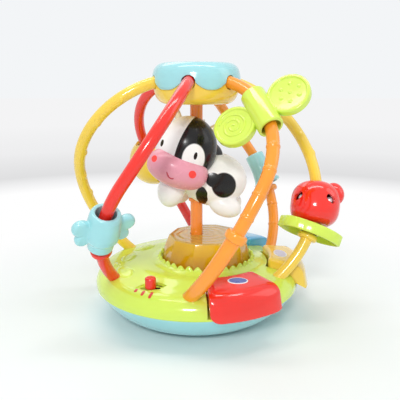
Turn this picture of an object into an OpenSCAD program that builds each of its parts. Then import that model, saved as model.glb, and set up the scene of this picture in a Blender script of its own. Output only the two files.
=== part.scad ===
// Baby activity ball: a round base with three sound keys and a lit tree-stump dome,
// six bent rails that carry beads, and a cow that turns on the centre post under the hub.
// Millimetres. The origin is the middle of the flat foot, +Z up, the cow looks towards -Y.

/* [Base] */
// Radius of the base at the seam
base_r = 83.5; // [81:0.5:86]
// Height of the seam between bowl and top
seam_z = 25.6; // [24:0.2:27]
// Radius of the flat foot
foot_flat_r = 50; // [48:0.5:54]
// Swell of the bowl's side beyond a straight cone
bowl_belly = 4.6; // [3.5:0.1:5.5]
// Wall of the base shells
base_wall = 2.4; // [2:0.1:3]
// How far the rim of the top swells past the seam
rim_bulge = 0.4; // [0.2:0.1:1]
// Height of the swell above the seam
rim_lift = 3.4; // [2.5:0.1:4.5]
// Radial depth of the rim's round
rim_round = 15; // [13:0.5:17]
// Height of the rim's round
rim_rise = 12.5; // [12:0.25:13.5]
// Height of the flat crown
crown_z = 45; // [44.5:0.25:46]
// Radius of the flat crown
crown_r = 52; // [51:0.5:55]
// Reach of the base screws from the post axis
base_screw_r = 45; // [44:0.5:46]
// Angles of the base screws
base_screw_angles = [-152, -92, -30, 30, 150];

/* [Keys] */
// Angles of the three keys round the base
key_angles = [-65.5, 0.5, 57];
// Half of the angle that a key spans
key_half = 18.2; // [16:0.2:18.6]
// Inner radius of the keys
key_in_r = 60; // [59:0.5:62]
// Outer radius of the keys
key_out_r = 93; // [91:0.5:95]
// Height of the keys' top
key_top_z = 50.5; // [49.5:0.5:54]
// Height of the skirt's lower edge
key_skirt_z = 27; // [26:0.25:28]
// Wall of the keys
key_wall = 2.2; // [1.8:0.1:2.6]
// Chamfer of the keys' edges
key_chamfer = 5; // [3:0.25:5.5]
// Room round a key in its well
key_gap = 1.2; // [1:0.1:1.5]
// Round of the keys' inner top edge
key_in_round = 4; // [3:0.25:4.5]
// Round of the keys' outer top edge
key_out_round = 11; // [9:0.5:12]
// Depth of the keys' lip under their outer edge
key_lip = 5.9; // [5:0.1:6.5]
// Distance of the keys' hinge line from their inner face
key_hinge_in = 4; // [3.5:0.25:6]
// Height of the keys' hinge line
key_hinge_z = 39.5; // [38.5:0.25:40]
// Radius of the hinge pins
pin_r = 1.5; // [1:0.1:2]
// Running fit of a pin in its hole, on the radius
pin_fit = 0.06; // [0.03:0.01:0.1]
// Travel of a key, in degrees
key_travel = 5; // [3:0.5:6]

/* [Light dome] */
// Offset of the dome's middle from the post
dome_x = 8; // [6:0.5:9]
// Radius of the dome's foot
dome_foot_r = 37; // [35:0.5:38]
// Radius of the dome's waist
dome_waist_r = 35; // [33:0.5:36]
// Radius of the dome's top face
dome_top_r = 30; // [27:0.5:32]
// Height of the dome
dome_h = 18; // [15:0.5:21]
// Height of the dome's waist
dome_waist_h = 11; // [8:0.5:13]
// Wall of the dome
dome_wall = 2; // [1.5:0.1:2.5]
// Facets round the dome
dome_facets = 10; // [8:1:12]
// Width of the grass collar
grass_w = 2.4; // [2:0.1:3]
// Room between grass and dome
grass_gap = 1; // [0.6:0.1:1.5]
// Height of the grass tips above the crown
grass_h = 5; // [3:0.5:7]
// Number of grass tips
grass_n = 30; // [20:1:40]

/* [Cage] */
// Radius of the rail rods
rail_r = 4.6; // [4.2:0.1:4.8]
// Angles of the rail holes round the hub
rail_angles = [-100, -42, 24.5, 77, 139, 198];
// Radius at which the rails leave the hub
rail_top_r = 35; // [34.5:0.25:36]
// Depth of the rail holes below the hub's top
rail_drop = 15.5; // [14:0.5:17]
// Radius of the rails' shoulder
shoulder_r = 92; // [91:0.25:93]
// Turn of the shoulder from the hub hole
shoulder_turn = -15.4; // [-16:0.1:-15]
// Height of the shoulder
shoulder_z = 137; // [136:0.25:138]
// Radius of the rails' waist, where the bend changes
waist_r = 96; // [95:0.25:97]
// Turn of the waist from the hub hole
waist_turn = -21; // [-22:0.1:-20.5]
// Height of the waist
waist_z = 122.4; // [121:0.25:124]
// Distance of the rails' feet inside the seam
rail_foot_in = 8.2; // [7.5:0.1:9]
// Turn of the rail's foot from the hub hole
rail_foot_turn = -50; // [-51:0.25:-49]
// Height at which the bend ends above the base
rail_foot_z = 43; // [42.5:0.1:44]
// Depth of the plugs at both rail ends
rail_plug = 11; // [10:0.5:12]
// Room round a plug in its socket
socket_fit = 0.35; // [0.2:0.05:0.5]
// Radius of the collars that stop the beads
collar_r = 8; // [7.9:0.1:8.5]
// Length of a collar along the rail
collar_l = 5; // [4:0.5:6]
// Radius of the front orange rail's collar
front_collar_r = 7.7; // [7.2:0.1:8]
// Length of the front orange rail's collar
front_collar_l = 6.5; // [5:0.5:8]
// Gap between a bead at rest and what stops it
rest_gap = 0.3; // [0.2:0.05:0.5]
// How much thicker the front orange rail is below its collar, on the radius
low_step = 0.7; // [0.4:0.1:0.8]
// Height of the bamboo rings above the rod
ring_step = 0.5; // [0.3:0.05:0.6]

/* [Hub] */
// Outer radius of the hub cap
hub_r = 35; // [34.5:0.25:36]
// Height of the hub cap's top
hub_top_z = 204; // [202:0.5:206]
// Depth of the cap's edge below its top
scallop_drop = 20.4; // [19.4:0.2:21.4]
// Rise of the scallops at the rail holes
scallop_rise = 4; // [3:0.25:5]
// Depth of the dish's flat underside below the cap's top
dish_drop = 31.5; // [30:0.5:33]
// Radius of the dish's flat underside
dish_flat_r = 24.5; // [23.5:0.5:26]
// Wall of the hub shells
hub_wall = 2; // [1.6:0.1:2.4]
// Room between cap and dish
hub_gap = 0.2; // [0.15:0.05:0.4]
// Reach of the hub screws
hub_screw_r = 16; // [15:0.5:17]

/* [Post and cow] */
// Radius of the centre post
post_r = 5; // [4.5:0.1:5.5]
// Wall of the post tube
post_wall = 1.5; // [1.2:0.1:2]
// Running fit of the cow's sleeve on the post, on the radius
sleeve_fit = 0.1; // [0.05:0.01:0.1]
// Wall of the cow's sleeve
sleeve_wall = 1.8; // [1.5:0.1:2.2]
// Height of the cow from its feet to its horns
cow_tall = 85.5; // [84:0.5:87]
// Share of the free room on the post that is below the cow
cow_low_share = 0.79167; // [0.5:0.01:0.9]
// Height of the ledge that carries the cow, above its feet
cow_ledge_h = 15; // [14:0.5:17]
// Height of the top of the cow's sleeve, above its feet
sleeve_top_h = 78; // [75:0.5:80]
// Wall of the cow's shells
cow_wall = 2.2; // [1.8:0.1:2.6]
// Middle of the cow's head, above its feet
head_at = [-8, -12, 56];
// Radius of the cow's head
head_r = 24; // [23:0.5:25]
// Half height of the cow's head
head_h = 26; // [25:0.5:27]
// Tilt of the cow's head, in degrees
head_tilt = 20; // [16:1:22]
// Middle of the cow's muzzle, above its feet
muzzle_at = [-14.5, -23, 42];
// Radius of the cow's muzzle
muzzle_r = 14.5; // [14:0.25:15.5]
// Half length of the cow's muzzle
muzzle_h = 24; // [22:0.5:25]
// Middle of the cow's body, above its feet
body_at = [14, 0, 30];
// Radius of the cow's body
body_r = 22; // [21:0.5:23]
// Half length of the cow's body
body_h = 27; // [26:0.5:28]
// Middles of the cow's legs, from the middle of its body
leg_at = [[-34, -13, -6.5], [-27, 12, -9], [9, -11, -20], [11, 11, -19]];
// Lean of the cow's legs, in degrees
leg_lean = [12, 8, -70, -70];
// Radii of the cow's legs
leg_r = [11, 10, 9, 9];
// Half lengths of the cow's legs
leg_h = [14, 14, 13.5, 13.5];

/* [Beads] */
// Half length of the blue butterfly bead
blue_h = 16.5; // [15:0.5:17]
// Bore radius of the blue butterfly bead
blue_bore = 7.3; // [7:0.1:7.6]
// Half length of the lime butterfly bead
lime_h = 16.5; // [15:0.5:17]
// Bore radius of the lime butterfly bead
lime_bore = 7.2; // [7:0.1:7.4]
// Outer radius of the lime butterfly's tube
lime_tube_r = 9.2; // [9:0.1:10]
// Radius of the lime butterfly's wings
lime_wing_r = 15.5; // [14:0.5:16]
// Reach of the lime butterfly's wings
lime_wing_x = 21.5; // [20:0.5:22]
// Place of the lime butterfly along the upper bend, in degrees
lime_at = 32; // [30:0.5:36]
// Radius of the red rattle bead
rattle_r = 19.5; // [18.5:0.5:20]
// Half length of the red rattle bead
rattle_h = 16.5; // [15.5:0.5:17]
// Wall of the red rattle bead
rattle_wall = 2; // [1.6:0.1:2.4]
// Bore radius of the red rattle bead
rattle_bore = 7; // [6.8:0.1:7.2]
// Radius of the knob on the red rattle bead
rattle_knob_r = 7.6; // [7:0.1:8.5]
// Place of that knob, outward and up along the rail
rattle_knob_at = [13.5, 12.5];
// Radius of the small balls in the rattle bead
shot_r = 2.9; // [2.5:0.1:3]
// Thickness of the leaf plate
leaf_t = 5; // [4:0.25:6]
// Half length of the leaf plate
leaf_l = 26; // [24:0.5:27]
// Half width of the leaf plate
leaf_w = 16; // [14:0.5:17]
// Bore radius of the leaf plate
leaf_bore = 6; // [5.5:0.1:6.5]
// Half length of the bell bead
bell_h = 15.5; // [14:0.5:16]
// Radius of the bell bead's top
bell_top_r = 8.8; // [8.6:0.1:9.5]
// Radius of the bell bead's mouth
bell_mouth_r = 12.5; // [11.5:0.25:13.5]
// Bore radius of the bell bead
bell_bore = 6.9; // [6.7:0.1:7.2]
// Radius of the yellow ball
ball_r = 24; // [22:0.5:25]
// Wall of the yellow ball
ball_wall = 2.2; // [1.8:0.1:2.6]
// Radius of the yellow ball's end holes
ball_bore = 7.4; // [7.2:0.1:7.6]
// Radius of the yellow ball's windows
ball_window_r = 7; // [6:0.25:7.5]

/* [Volume switch] */
// Distance of the switch slot inside the seam
slot_in = 16.27; // [15:0.1:18]
// Angle of the switch slot round the base
slot_turn = -120.38; // [-124:0.1:-117]
// Width of the slot for the stem
slot_w = 4; // [3.5:0.1:4.5]
// Radius of the knob
knob_r = 4.2; // [3.8:0.1:4.5]
// Height of the knob above the slot's floor
knob_h = 8.5; // [7:0.5:10]
// Whole travel of the knob
knob_travel = 8; // [6:0.5:9]

/* [Electrics] */
// Diameter of a battery cell
cell_d = 14.5; // [14:0.1:14.5]
// Length of a battery cell
cell_l = 50.5; // [49:0.5:50.5]
// Room round the cells
cell_gap = 0.5; // [0.3:0.1:0.8]
// Radius of the speaker
speaker_r = 14; // [13:0.5:15]
// Height of the speaker
speaker_h = 7; // [6:0.5:8]
// Radius of the lamp under the dome
led_r = 2.5; // [2:0.1:3]
// Distance of the lamp from the dome's middle
led_out = 10; // [9:0.5:14]
// Thickness of the circuit board
board_t = 1.6; // [1:0.2:2]
// Length and width of the circuit board
board_size = [54, 34];

/* [Hidden] */
$fn = 48;
eps = 0.01;

// Colours of the moulded plastics
lime = "#d4ee62";
sky = "#a2dde2";
red = "#f2493c";
orange = "#ff9c3a";
yellow = "#f8d04e";
white = "#f6f4f0";
steel = "#b9bcc0";

// Heights and fits that follow from the sizes above
rim_x = base_r + rim_bulge;
rail_foot_r = base_r - rail_foot_in;
slot_at = (base_r - slot_in) * [cos(slot_turn), sin(slot_turn)];
rim_z = seam_z + rim_lift;
well_floor_z = seam_z + 2;
key_bottom_z = well_floor_z + 2.9;
key_side = atan(key_gap / key_in_r);
key_depth = key_out_r - key_in_r;
key_hinge_r = key_in_r + key_hinge_in;
switch_r = key_in_r + 0.606 * key_depth;
switch_h = 4.3;
plunger_z = well_floor_z + switch_h + (switch_r - key_hinge_r) * sin(key_travel) + rest_gap;
dome_top_z = crown_z + dome_h;
rail_top_z = hub_top_z - rail_drop;
scallop_z = hub_top_z - scallop_drop;
dish_z = hub_top_z - dish_drop;
// The cow keeps its share of the room between dome and hub under it
cow_z = dome_top_z + cow_low_share * (dish_z - dome_top_z - cow_tall);
sleeve_r = post_r + sleeve_fit + sleeve_wall;
screw_r = 1.5;
screw_fit = 0.05;
screw_head_r = 3;
screw_head_h = 2;
box_wall = 2;
box_in = [cell_l + 5, 2 * cell_d + 3 * cell_gap];
box_top_z = base_wall + 2 * cell_gap + cell_d + box_wall;
cell_z = base_wall + cell_gap + cell_d / 2;
door_size = [box_in.x + 6, box_in.y + 9];
door_t = base_wall / 2;
door_screw_at = [0, -box_in.y / 2 - 1.6];
board_z = box_top_z + 3;
slot_floor_z = crown_at(norm(slot_at)) - 1.2;
speaker_at = [0, box_in.y / 2 + box_wall + speaker_r + 3];
skirt = 1.2;
stem_l = 5;
switch_l = knob_travel + stem_l + 4;

// Points, directions and bends
function polar(r, a, z) = [r * cos(a), r * sin(a), z];
function unit(v) = v / norm(v);
function arc_points(c, r, a0, a1, n = 5) =
    [for (i = [0:n]) c + r * [cos(a0 + (a1 - a0) * i / n), sin(a0 + (a1 - a0) * i / n)]];

// A bend is [centre, radius, first direction, second direction, span]
function bend_of_three(p, m, q) =
    let (u = m - p, v = q - p, w = cross(u, v))
    let (c = p + cross((u * u) * v - (v * v) * u, w) / (2 * (w * w)))
    let (e1 = unit(p - c), e2 = cross(unit(w), e1))
    [c, norm(p - c), e1, e2, atan2((q - c) * e2, (q - c) * e1)];
function bend_along(p, t, q) =
    let (d = q - p, inward = cross(unit(cross(t, d)), t))
    let (r = d * d / (2 * (d * inward)))
    [p + r * inward, r, -inward, t, 2 * atan2(d * inward, d * t)];
function bend_dir(b, a) = cos(a) * b[3] - sin(a) * b[2];
function bend_point(b, a) = b[0] + b[1] * (cos(a) * b[2] + sin(a) * b[3]);
// Angle along a bend that a length covers
function bend_deg(b, l) = l / b[1] * 180 / PI;

rail_top = polar(rail_top_r, 0, rail_top_z);
rail_waist = polar(waist_r, waist_turn, waist_z);
rail_foot = polar(rail_foot_r, rail_foot_turn, rail_foot_z);
upper = bend_of_three(rail_top, polar(shoulder_r, shoulder_turn, shoulder_z), rail_waist);
lower = bend_along(rail_waist, bend_dir(upper, upper[4]), rail_foot);

// Collars along the lower bend, in degrees from the waist, and the beads that rest on them
collar_deg = bend_deg(lower, collar_l);
red_front_collar = 36.5;
orange_front_collar = 22.6;
yellow_right_collar = 37.2;
orange_back_collar = 22.6;
red_back_collar = 22.5;
// A straight bead meets its stop on the inside of the bend first
inside = lower[1] / (lower[1] - collar_r);
function above(collar, half) = collar - (collar_deg / 2 + bend_deg(lower, half + rest_gap)) * inside;
blue_at = above(red_front_collar, blue_h);
leaf_at = above(yellow_right_collar, leaf_t / 2);
// The rattle bead meets the leaf on the inside of the bend
rattle_end_r = sqrt(rattle_r * rattle_r - rattle_h * rattle_h);
rattle_at = leaf_at - bend_deg(lower, leaf_t / 2 + rattle_h + rest_gap) * lower[1] / (lower[1] - rattle_end_r);
bell_at = above(orange_back_collar, bell_h);
ball_at = above(red_back_collar, ball_r);

// The rod runs a little way into the base, and its spigot fills the rest of the socket
foot_end = lower[4] + bend_deg(lower, 5);
spigot_r = rail_r - 0.8;
spigot_l = rail_plug - 4;

// Turns of the beads about their rails, so that they face the front
blue_turn = 176;
lime_turn = 0;
rattle_turn = 6.5;
leaf_turn = 10;

// Puts children in the frame of a bend: X and Y in its plane
module in_bend(b) {
    n = cross(b[2], b[3]);
    multmatrix([[b[2].x, b[3].x, n.x, b[0].x],
                [b[2].y, b[3].y, n.y, b[0].y],
                [b[2].z, b[3].z, n.z, b[0].z]]) children();
}

// Puts children on a rail: Z runs up the rail, X points away from the middle of the bend
module on_rail(rail, b, a) {
    rotate([0, 0, rail_angles[rail]]) in_bend(b) rotate([0, 0, a]) translate([b[1], 0, 0])
        rotate([90, 0, 0]) children();
}

// Part of a rod along a bend
module rod(b, a0, a1, r) {
    in_bend(b) rotate_extrude(angle = a1 - a0, start = a0, $fn = 180)
        translate([b[1], 0]) circle(r);
}

// Straight rod from a point along a direction
module straight(p, dir, l, r) {
    translate(p) rotate([0, acos(dir.z), atan2(dir.y, dir.x)]) cylinder(r = r, h = l);
}

// Solid of revolution with the section of half an ellipse, round Z
module egg(r, h) {
    rotate_extrude() polygon([for (t = [-90:10:90]) [r * cos(t), h * sin(t)]]);
}

// Wedge about the post axis with the given section
module wedge(half, points) {
    rotate([0, 0, -half]) rotate_extrude(angle = 2 * half, $fn = 120) polygon(points);
}

// Screw with its head at the bottom
module screw(l, head_r = screw_head_r) {
    cylinder(r = head_r, h = screw_head_h);
    cylinder(r = screw_r, h = l);
}

// Base

// Height of the crown over a radius between the flat and the rim's round
function crown_at(r) = crown_z - (crown_z - rim_z - rim_rise)
    * max(0, r - crown_r) / (rim_x - rim_round - crown_r);
function top_section(o) = concat(
    [[0, seam_z], [0, crown_z - o], [crown_r, crown_z - o]],
    [for (t = [90:-15:0]) [rim_x - rim_round + (rim_round - o) * cos(t), rim_z + (rim_rise - o) * sin(t)]],
    [[base_r - o, seam_z]]);
function bowl_section(o) = concat(
    [[0, o]],
    let (a = [foot_flat_r, o], b = [base_r - 0.6 - o, seam_z])
    let (out = unit([b.y - a.y, a.x - b.x]))
    [for (t = [0:0.125:1]) a + (b - a) * t + 4 * bowl_belly * t * (1 - t) * out],
    [[0, seam_z]]);

// Straight sockets for the rails' feet; the front orange rail is thicker below its collar
module rail_sockets(extra, l, up = 0) {
    dir = bend_dir(lower, lower[4]);
    for (i = [0:5]) rotate([0, 0, rail_angles[i]])
        straight(rail_foot - up * dir, dir, l + up, rail_r + (i == 1 ? low_step : 0) + extra);
}

module key_wells() {
    for (a = key_angles) rotate([0, 0, a]) wedge(key_half + key_side, [
        [key_in_r - key_gap, well_floor_z], [key_out_r + 5, well_floor_z],
        [key_out_r + 5, key_top_z + 9], [key_in_r - key_gap, key_top_z + 9]]);
}

module key_well_walls() {
    side = atan(base_wall / key_in_r);
    for (a = key_angles) rotate([0, 0, a]) wedge(key_half + key_side + side, [
        [key_in_r - key_gap - base_wall, seam_z], [rim_x, seam_z],
        [rim_x, crown_z], [key_in_r - key_gap - base_wall, crown_z]]);
}

module key_pin_rods(fit) {
    l = 2 * key_hinge_r * tan(key_half + key_side) + 2 * base_wall - 2;
    for (a = key_angles) rotate([0, 0, a]) translate([key_hinge_r, 0, key_hinge_z])
        rotate([90, 0, 0]) cylinder(r = pin_r + fit, h = l + 2 * fit, center = true);
}

module grass() {
    in_r = dome_foot_r + grass_gap;
    translate([dome_x, 0, crown_z - eps]) {
        difference() {
            cylinder(r = in_r + grass_w, h = grass_h * 0.35);
            translate([0, 0, -1]) cylinder(r = in_r, h = grass_h + 2);
        }
        for (i = [0:grass_n - 1]) rotate([0, 0, i * 360 / grass_n]) translate([in_r + 0.2, 0, 0])
            rotate([90, 0, 90]) linear_extrude(grass_w - 0.6)
                polygon([[-0.42, 0], [0.42, 0], [0.42, 0.2], [0, 1 - 0.2 * (i % 2)], [-0.42, 0.2]]
                    * [[360 / grass_n * PI / 180 * in_r, 0], [0, grass_h]]);
    }
}

module switch_slot() {
    translate([slot_at.x, slot_at.y, 0]) {
        // Recess round the knob
        translate([0, 0, slot_floor_z]) linear_extrude(10) {
            square([knob_travel, 2 * knob_r + 2], center = true);
            for (s = [-1, 1]) translate([s * knob_travel / 2, 0]) circle(knob_r + 1);
        }
        // Slit for the stem
        translate([0, 0, slot_floor_z]) cube([knob_travel + stem_l + 2, slot_w, 20], center = true);
    }
}

module base_screw_places() {
    for (a = base_screw_angles) rotate([0, 0, a]) translate([base_screw_r, 0, 0]) children();
}

module base_top() {
    color(lime) difference() {
        union() {
            difference() {
                rotate_extrude($fn = 120) polygon(top_section(0));
                translate([0, 0, -eps]) rotate_extrude($fn = 120) polygon(top_section(base_wall));
            }
            intersection() {
                rotate_extrude($fn = 120) polygon(top_section(0));
                union() {
                    key_well_walls();
                    rail_sockets(socket_fit + 1.6, rail_plug + 1.5);
                    base_screw_places() translate([0, 0, seam_z]) cylinder(r = 4, h = 40);
                    translate([0, 0, crown_z - 13]) cylinder(r = post_r + 3, h = 20);
                }
            }
            grass();
        }
        key_wells();
        key_pin_rods(pin_fit);
        rail_sockets(socket_fit, rail_plug + 0.3, 6);
        switch_slot();
        base_screw_places() translate([0, 0, seam_z - 1])
            cylinder(r = screw_r + screw_fit, h = 12);
        translate([0, 0, crown_z - 11]) cylinder(r = post_r + 0.1, h = 30);
        translate([dome_x + led_out, 0, crown_z - 10]) cylinder(r = led_r + 0.1, h = 30);
    }
}

module base_bowl() {
    color(sky) difference() {
        union() {
            difference() {
                rotate_extrude($fn = 120) polygon(bowl_section(0));
                translate([0, 0, eps]) rotate_extrude($fn = 120) polygon(bowl_section(base_wall));
            }
            // Battery box
            translate([-box_in.x / 2 - box_wall, -box_in.y / 2 - box_wall, base_wall - eps])
                cube([box_in.x + 2 * box_wall, box_in.y + 2 * box_wall, box_top_z - base_wall]);
            // Stands for the circuit board
            for (x = [-1, 1], y = [-1, 1]) translate([x * (board_size.x / 2 - 4),
                y * (board_size.y / 2 - 4), box_top_z - 1]) cylinder(r = 2.5, h = board_z - box_top_z + 1);
            // Seat of the speaker
            translate([speaker_at.x, speaker_at.y, base_wall - eps])
                cylinder(r = speaker_r + 1.5, h = 3);
            base_screw_places() translate([0, 0, eps]) cylinder(r = 4, h = seam_z - 2 * eps);
        }
        // Space for the cells and the door's rebate
        translate([-box_in.x / 2, -box_in.y / 2, -1]) cube([box_in.x, box_in.y, box_top_z - box_wall + 1]);
        translate([-door_size.x / 2 - 0.3, -door_size.y / 2 - 0.3, -1])
            cube([door_size.x + 0.6, door_size.y + 0.6, door_t + rest_gap + 1]);
        translate([door_screw_at.x, door_screw_at.y, -1]) cylinder(r = screw_r + screw_fit, h = 12);
        // Sound holes
        translate([speaker_at.x, speaker_at.y, -1]) {
            translate([0, 0, base_wall + 1]) cylinder(r = speaker_r - 2, h = 10);
            for (i = [0:5]) rotate([0, 0, i * 60]) translate([7, 0, 0]) cylinder(r = 1.5, h = 10);
            cylinder(r = 1.5, h = 10);
        }
        base_screw_places() translate([0, 0, -1]) {
            cylinder(r = screw_head_r + 0.4, h = 6);
            cylinder(r = screw_r + screw_fit, h = 60);
        }
    }
}

module base_screws() {
    color(steel) base_screw_places() translate([0, 0, 5 - screw_head_h - rest_gap])
        screw(seam_z + 9 - (5 - screw_head_h));
}

module battery_door() {
    color(sky) difference() {
        translate([-door_size.x / 2, -door_size.y / 2, 0]) cube([door_size.x, door_size.y, door_t]);
        translate([door_screw_at.x, door_screw_at.y, -1]) {
            cylinder(r = 2.8, h = 1 + door_t / 2);
            cylinder(r = screw_r + screw_fit, h = 6);
        }
    }
}

module door_screw() {
    color(steel) translate([door_screw_at.x, door_screw_at.y, 0.15]) {
        cylinder(r = 2.4, h = door_t / 2 - 0.2);
        cylinder(r = screw_r, h = 9);
    }
}

module batteries() {
    for (s = [-1, 1]) color("#3c4046") translate([0, s * (cell_d + cell_gap) / 2, cell_z])
        rotate([0, s * 90, 0]) {
            cylinder(r = cell_d / 2, h = cell_l - 1, center = true);
            cylinder(r = 2.6, h = cell_l + 1, center = true);
        }
}

module battery_contacts() {
    t = 0.5;
    for (s = [-1, 1]) color(steel) translate([s * (box_in.x / 2 - 0.6), 0, cell_z])
        cube([t, box_in.y - 4, cell_d - 4], center = true);
}

module circuit_board() {
    color("#3f7f4f") translate([0, 0, board_z + board_t / 2 + 0.05])
        cube([board_size.x, board_size.y, board_t], center = true);
    color("#30353a") translate([-12, 0, board_z + board_t + 0.04]) cylinder(r = 6, h = 2);
}

module speaker() {
    color("#44484c") translate([speaker_at.x, speaker_at.y, base_wall + 3 + 0.05]) {
        cylinder(r = speaker_r, h = 2.5);
        cylinder(r = speaker_r * 0.55, h = speaker_h);
    }
}

module dome_led() {
    color("#f3f3e8") translate([dome_x + led_out, 0, 0]) {
        translate([0, 0, crown_z - 4]) cylinder(r = led_r, h = 8);
        translate([0, 0, crown_z + 4]) sphere(r = led_r);
        translate([0, 0, crown_z + 0.05]) cylinder(r = led_r + 0.7, h = 1);
        for (s = [-1, 1]) translate([0, s * 1.27, board_z + board_t + 0.1])
            cylinder(r = 0.4, h = crown_z - board_z - board_t - 3.5);
    }
}

module slide_switch() {
    color(steel) translate([slot_at.x, slot_at.y, crown_at(norm(slot_at)) - base_wall - 9.5])
        linear_extrude(5) square([switch_l, 7], center = true);
    color("#30353a") for (s = [-1, 1])
        translate([slot_at.x + s * (switch_l / 2 - 3), slot_at.y, crown_at(norm(slot_at)) - base_wall - 4.6])
            translate([0, 5, 0]) cylinder(r = 2, h = 4.2);
}

module key_switches() {
    color("#30353a") for (a = key_angles) rotate([0, 0, a])
        translate([switch_r - 3, -3, well_floor_z + 0.02]) {
            cube([6, 6, switch_h - 0.8]);
            translate([3, 3, 0]) cylinder(r = 1.7, h = switch_h);
        }
}

module key_springs() {
    t = 0.5;
    flat = 0.09 * key_depth;
    heel = 0.24 * key_depth;
    reach = switch_r + 0.12 * key_depth;
    tip = [reach, key_top_z - key_wall - (reach + flat - key_hinge_r) * sin(key_travel) - 3.5];
    foot = [switch_r - heel, well_floor_z + 0.02];
    color(steel) for (a = key_angles) rotate([0, 0, a]) translate([0, 12, 0]) rotate([90, 0, 0])
        linear_extrude(5, center = true) polygon([foot - [heel, 0], foot, tip, tip + [flat, 0],
            tip + [flat, t], tip + [-t, t], foot + [-t, t], foot + [-heel, t]]);
}

module key_pins() {
    color(steel) key_pin_rods(0);
}

// Keys

function key_section(o) =
    let (ri = key_in_round, ro = key_out_round)
    let (in_r = key_in_r + o, out_r = key_out_r - o, top = key_top_z - o)
    concat(
        [[in_r, key_bottom_z - (o > 0 ? 20 : 0)]],
        arc_points([key_in_r + ri, key_top_z - ri], ri - o, 180, 90),
        arc_points([key_out_r - ro, key_top_z - ro], ro - o, 90, 0),
        [[out_r, key_skirt_z + 5], [out_r - 1.2, key_skirt_z - (o > 0 ? 15 : 0)]],
        o > 0 ? [] : [[key_out_r - key_lip, key_skirt_z], [key_out_r - key_lip, key_bottom_z]]);

// Cuts along the top side edges and down the outer corners of a key
module key_edges(c) {
    w = c * sqrt(2);
    for (s = [-1, 1]) rotate([0, 0, s * key_half]) {
        translate([(key_in_r + key_out_r) / 2, 0, key_top_z]) rotate([45, 0, 0])
            cube([80, w, w], center = true);
        translate([key_out_r, 0, key_top_z]) rotate([0, 0, 45]) cube([w, w, 80], center = true);
    }
}

module key(a, colour) {
    side = atan(key_wall / (key_in_r + key_out_r) * 2);
    color(colour) rotate([0, 0, a]) difference() {
        union() {
            difference() {
                wedge(key_half, key_section(0));
                key_edges(key_chamfer);
                difference() {
                    wedge(key_half - side, key_section(key_wall));
                    key_edges(key_chamfer + key_wall * sqrt(2));
                }
            }
            // Plunger over the switch
            translate([switch_r, 0, plunger_z]) cylinder(r = 2.5, h = key_top_z - key_wall - plunger_z + eps);
        }
        translate([key_hinge_r, 0, key_hinge_z]) rotate([90, 0, 0])
            cylinder(r = pin_r + pin_fit, h = 4 * key_hinge_r, center = true);
    }
}

module key_red() { key(key_angles[0], red); }
module key_yellow() { key(key_angles[1], yellow); }
module key_blue() { key(key_angles[2], "#4aa5d8"); }

module volume_knob() {
    color(red) translate([slot_at.x, slot_at.y, slot_floor_z + rest_gap]) {
        cylinder(r = knob_r, h = knob_h);
        translate([0, 0, -base_wall - 1.5]) linear_extrude(base_wall + 2)
            square([stem_l, slot_w - 0.8], center = true);
    }
}

// Dome and post

module dome_solid(o) {
    translate([dome_x, 0, crown_z]) rotate([0, 0, 180 / dome_facets]) {
        translate([0, 0, o > 0 ? -1 : 0])
            cylinder(r1 = dome_foot_r - o, r2 = dome_waist_r - o, h = dome_waist_h + (o > 0 ? 1 : 0),
                $fn = dome_facets);
        translate([0, 0, dome_waist_h - eps])
            cylinder(r1 = dome_waist_r - o, r2 = dome_top_r - o, h = dome_h - dome_waist_h - o,
                $fn = dome_facets);
    }
}

module light_dome() {
    color("#c9962a") difference() {
        dome_solid(0);
        dome_solid(dome_wall);
        translate([0, 0, crown_z]) cylinder(r = post_r + 0.1, h = 40);
    }
}

module centre_post() {
    color(orange) difference() {
        union() {
            translate([0, 0, crown_z - 10.9]) cylinder(r = post_r, h = dish_z + 12 - crown_z + 10.9);
            // Ledge inside the cow
            translate([0, 0, cow_z + cow_ledge_h - 3]) cylinder(r = sleeve_r - 0.4, h = 3);
        }
        translate([0, 0, crown_z - 12]) cylinder(r = post_r - post_wall, h = 200);
    }
}

// Cow

module from_feet(at) { translate(at + [0, 0, cow_z]) children(); }
module head_frame() { from_feet(head_at) rotate([0, head_tilt, 0]) children(); }
module muzzle_frame() { from_feet(muzzle_at) rotate([0, 90 + head_tilt, 0]) children(); }
module body_frame() { from_feet(body_at) rotate([0, 95, 0]) children(); }
module sleeve_hole() { from_feet([0, 0, -20]) cylinder(r = sleeve_r + 0.1, h = cow_tall + 40); }

module cow_sleeve() {
    h = sleeve_top_h - cow_ledge_h - rest_gap;
    color(white) from_feet([0, 0, cow_ledge_h + rest_gap]) difference() {
        cylinder(r = sleeve_r, h = h);
        translate([0, 0, -1]) cylinder(r = post_r + sleeve_fit, h = h + 2);
    }
}

module cow_body() {
    color(white) difference() {
        union() {
            body_frame() egg(body_r, body_h);
            for (i = [0:len(leg_at) - 1]) from_feet(body_at + leg_at[i]) rotate([0, leg_lean[i], 0])
                egg(leg_r[i], leg_h[i]);
        }
        body_frame() egg(body_r - cow_wall, body_h - cow_wall);
        head_frame() egg(head_r + 0.2, head_h + 0.2);
        muzzle_frame() egg(muzzle_r + 0.2, muzzle_h + 0.2);
        sleeve_hole();
    }
}

module cow_head() {
    color(white) difference() {
        head_frame() egg(head_r, head_h);
        head_frame() egg(head_r - cow_wall, head_h - cow_wall);
        muzzle_frame() egg(muzzle_r + 0.1, muzzle_h + 0.1);
        sleeve_hole();
    }
}

module cow_muzzle() {
    color("#e29ab8") difference() {
        muzzle_frame() egg(muzzle_r, muzzle_h);
        head_frame() egg(head_r - 2 * cow_wall, head_h - 2 * cow_wall);
        sleeve_hole();
    }
}

module cow_horns() {
    color("#dccfae") difference() {
        for (s = [-1, 1]) head_frame() rotate([0, s * 34, 0]) translate([0, 4, head_h - 4]) egg(3, 8.5);
        head_frame() egg(head_r + 0.05, head_h + 0.05);
    }
}

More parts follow.
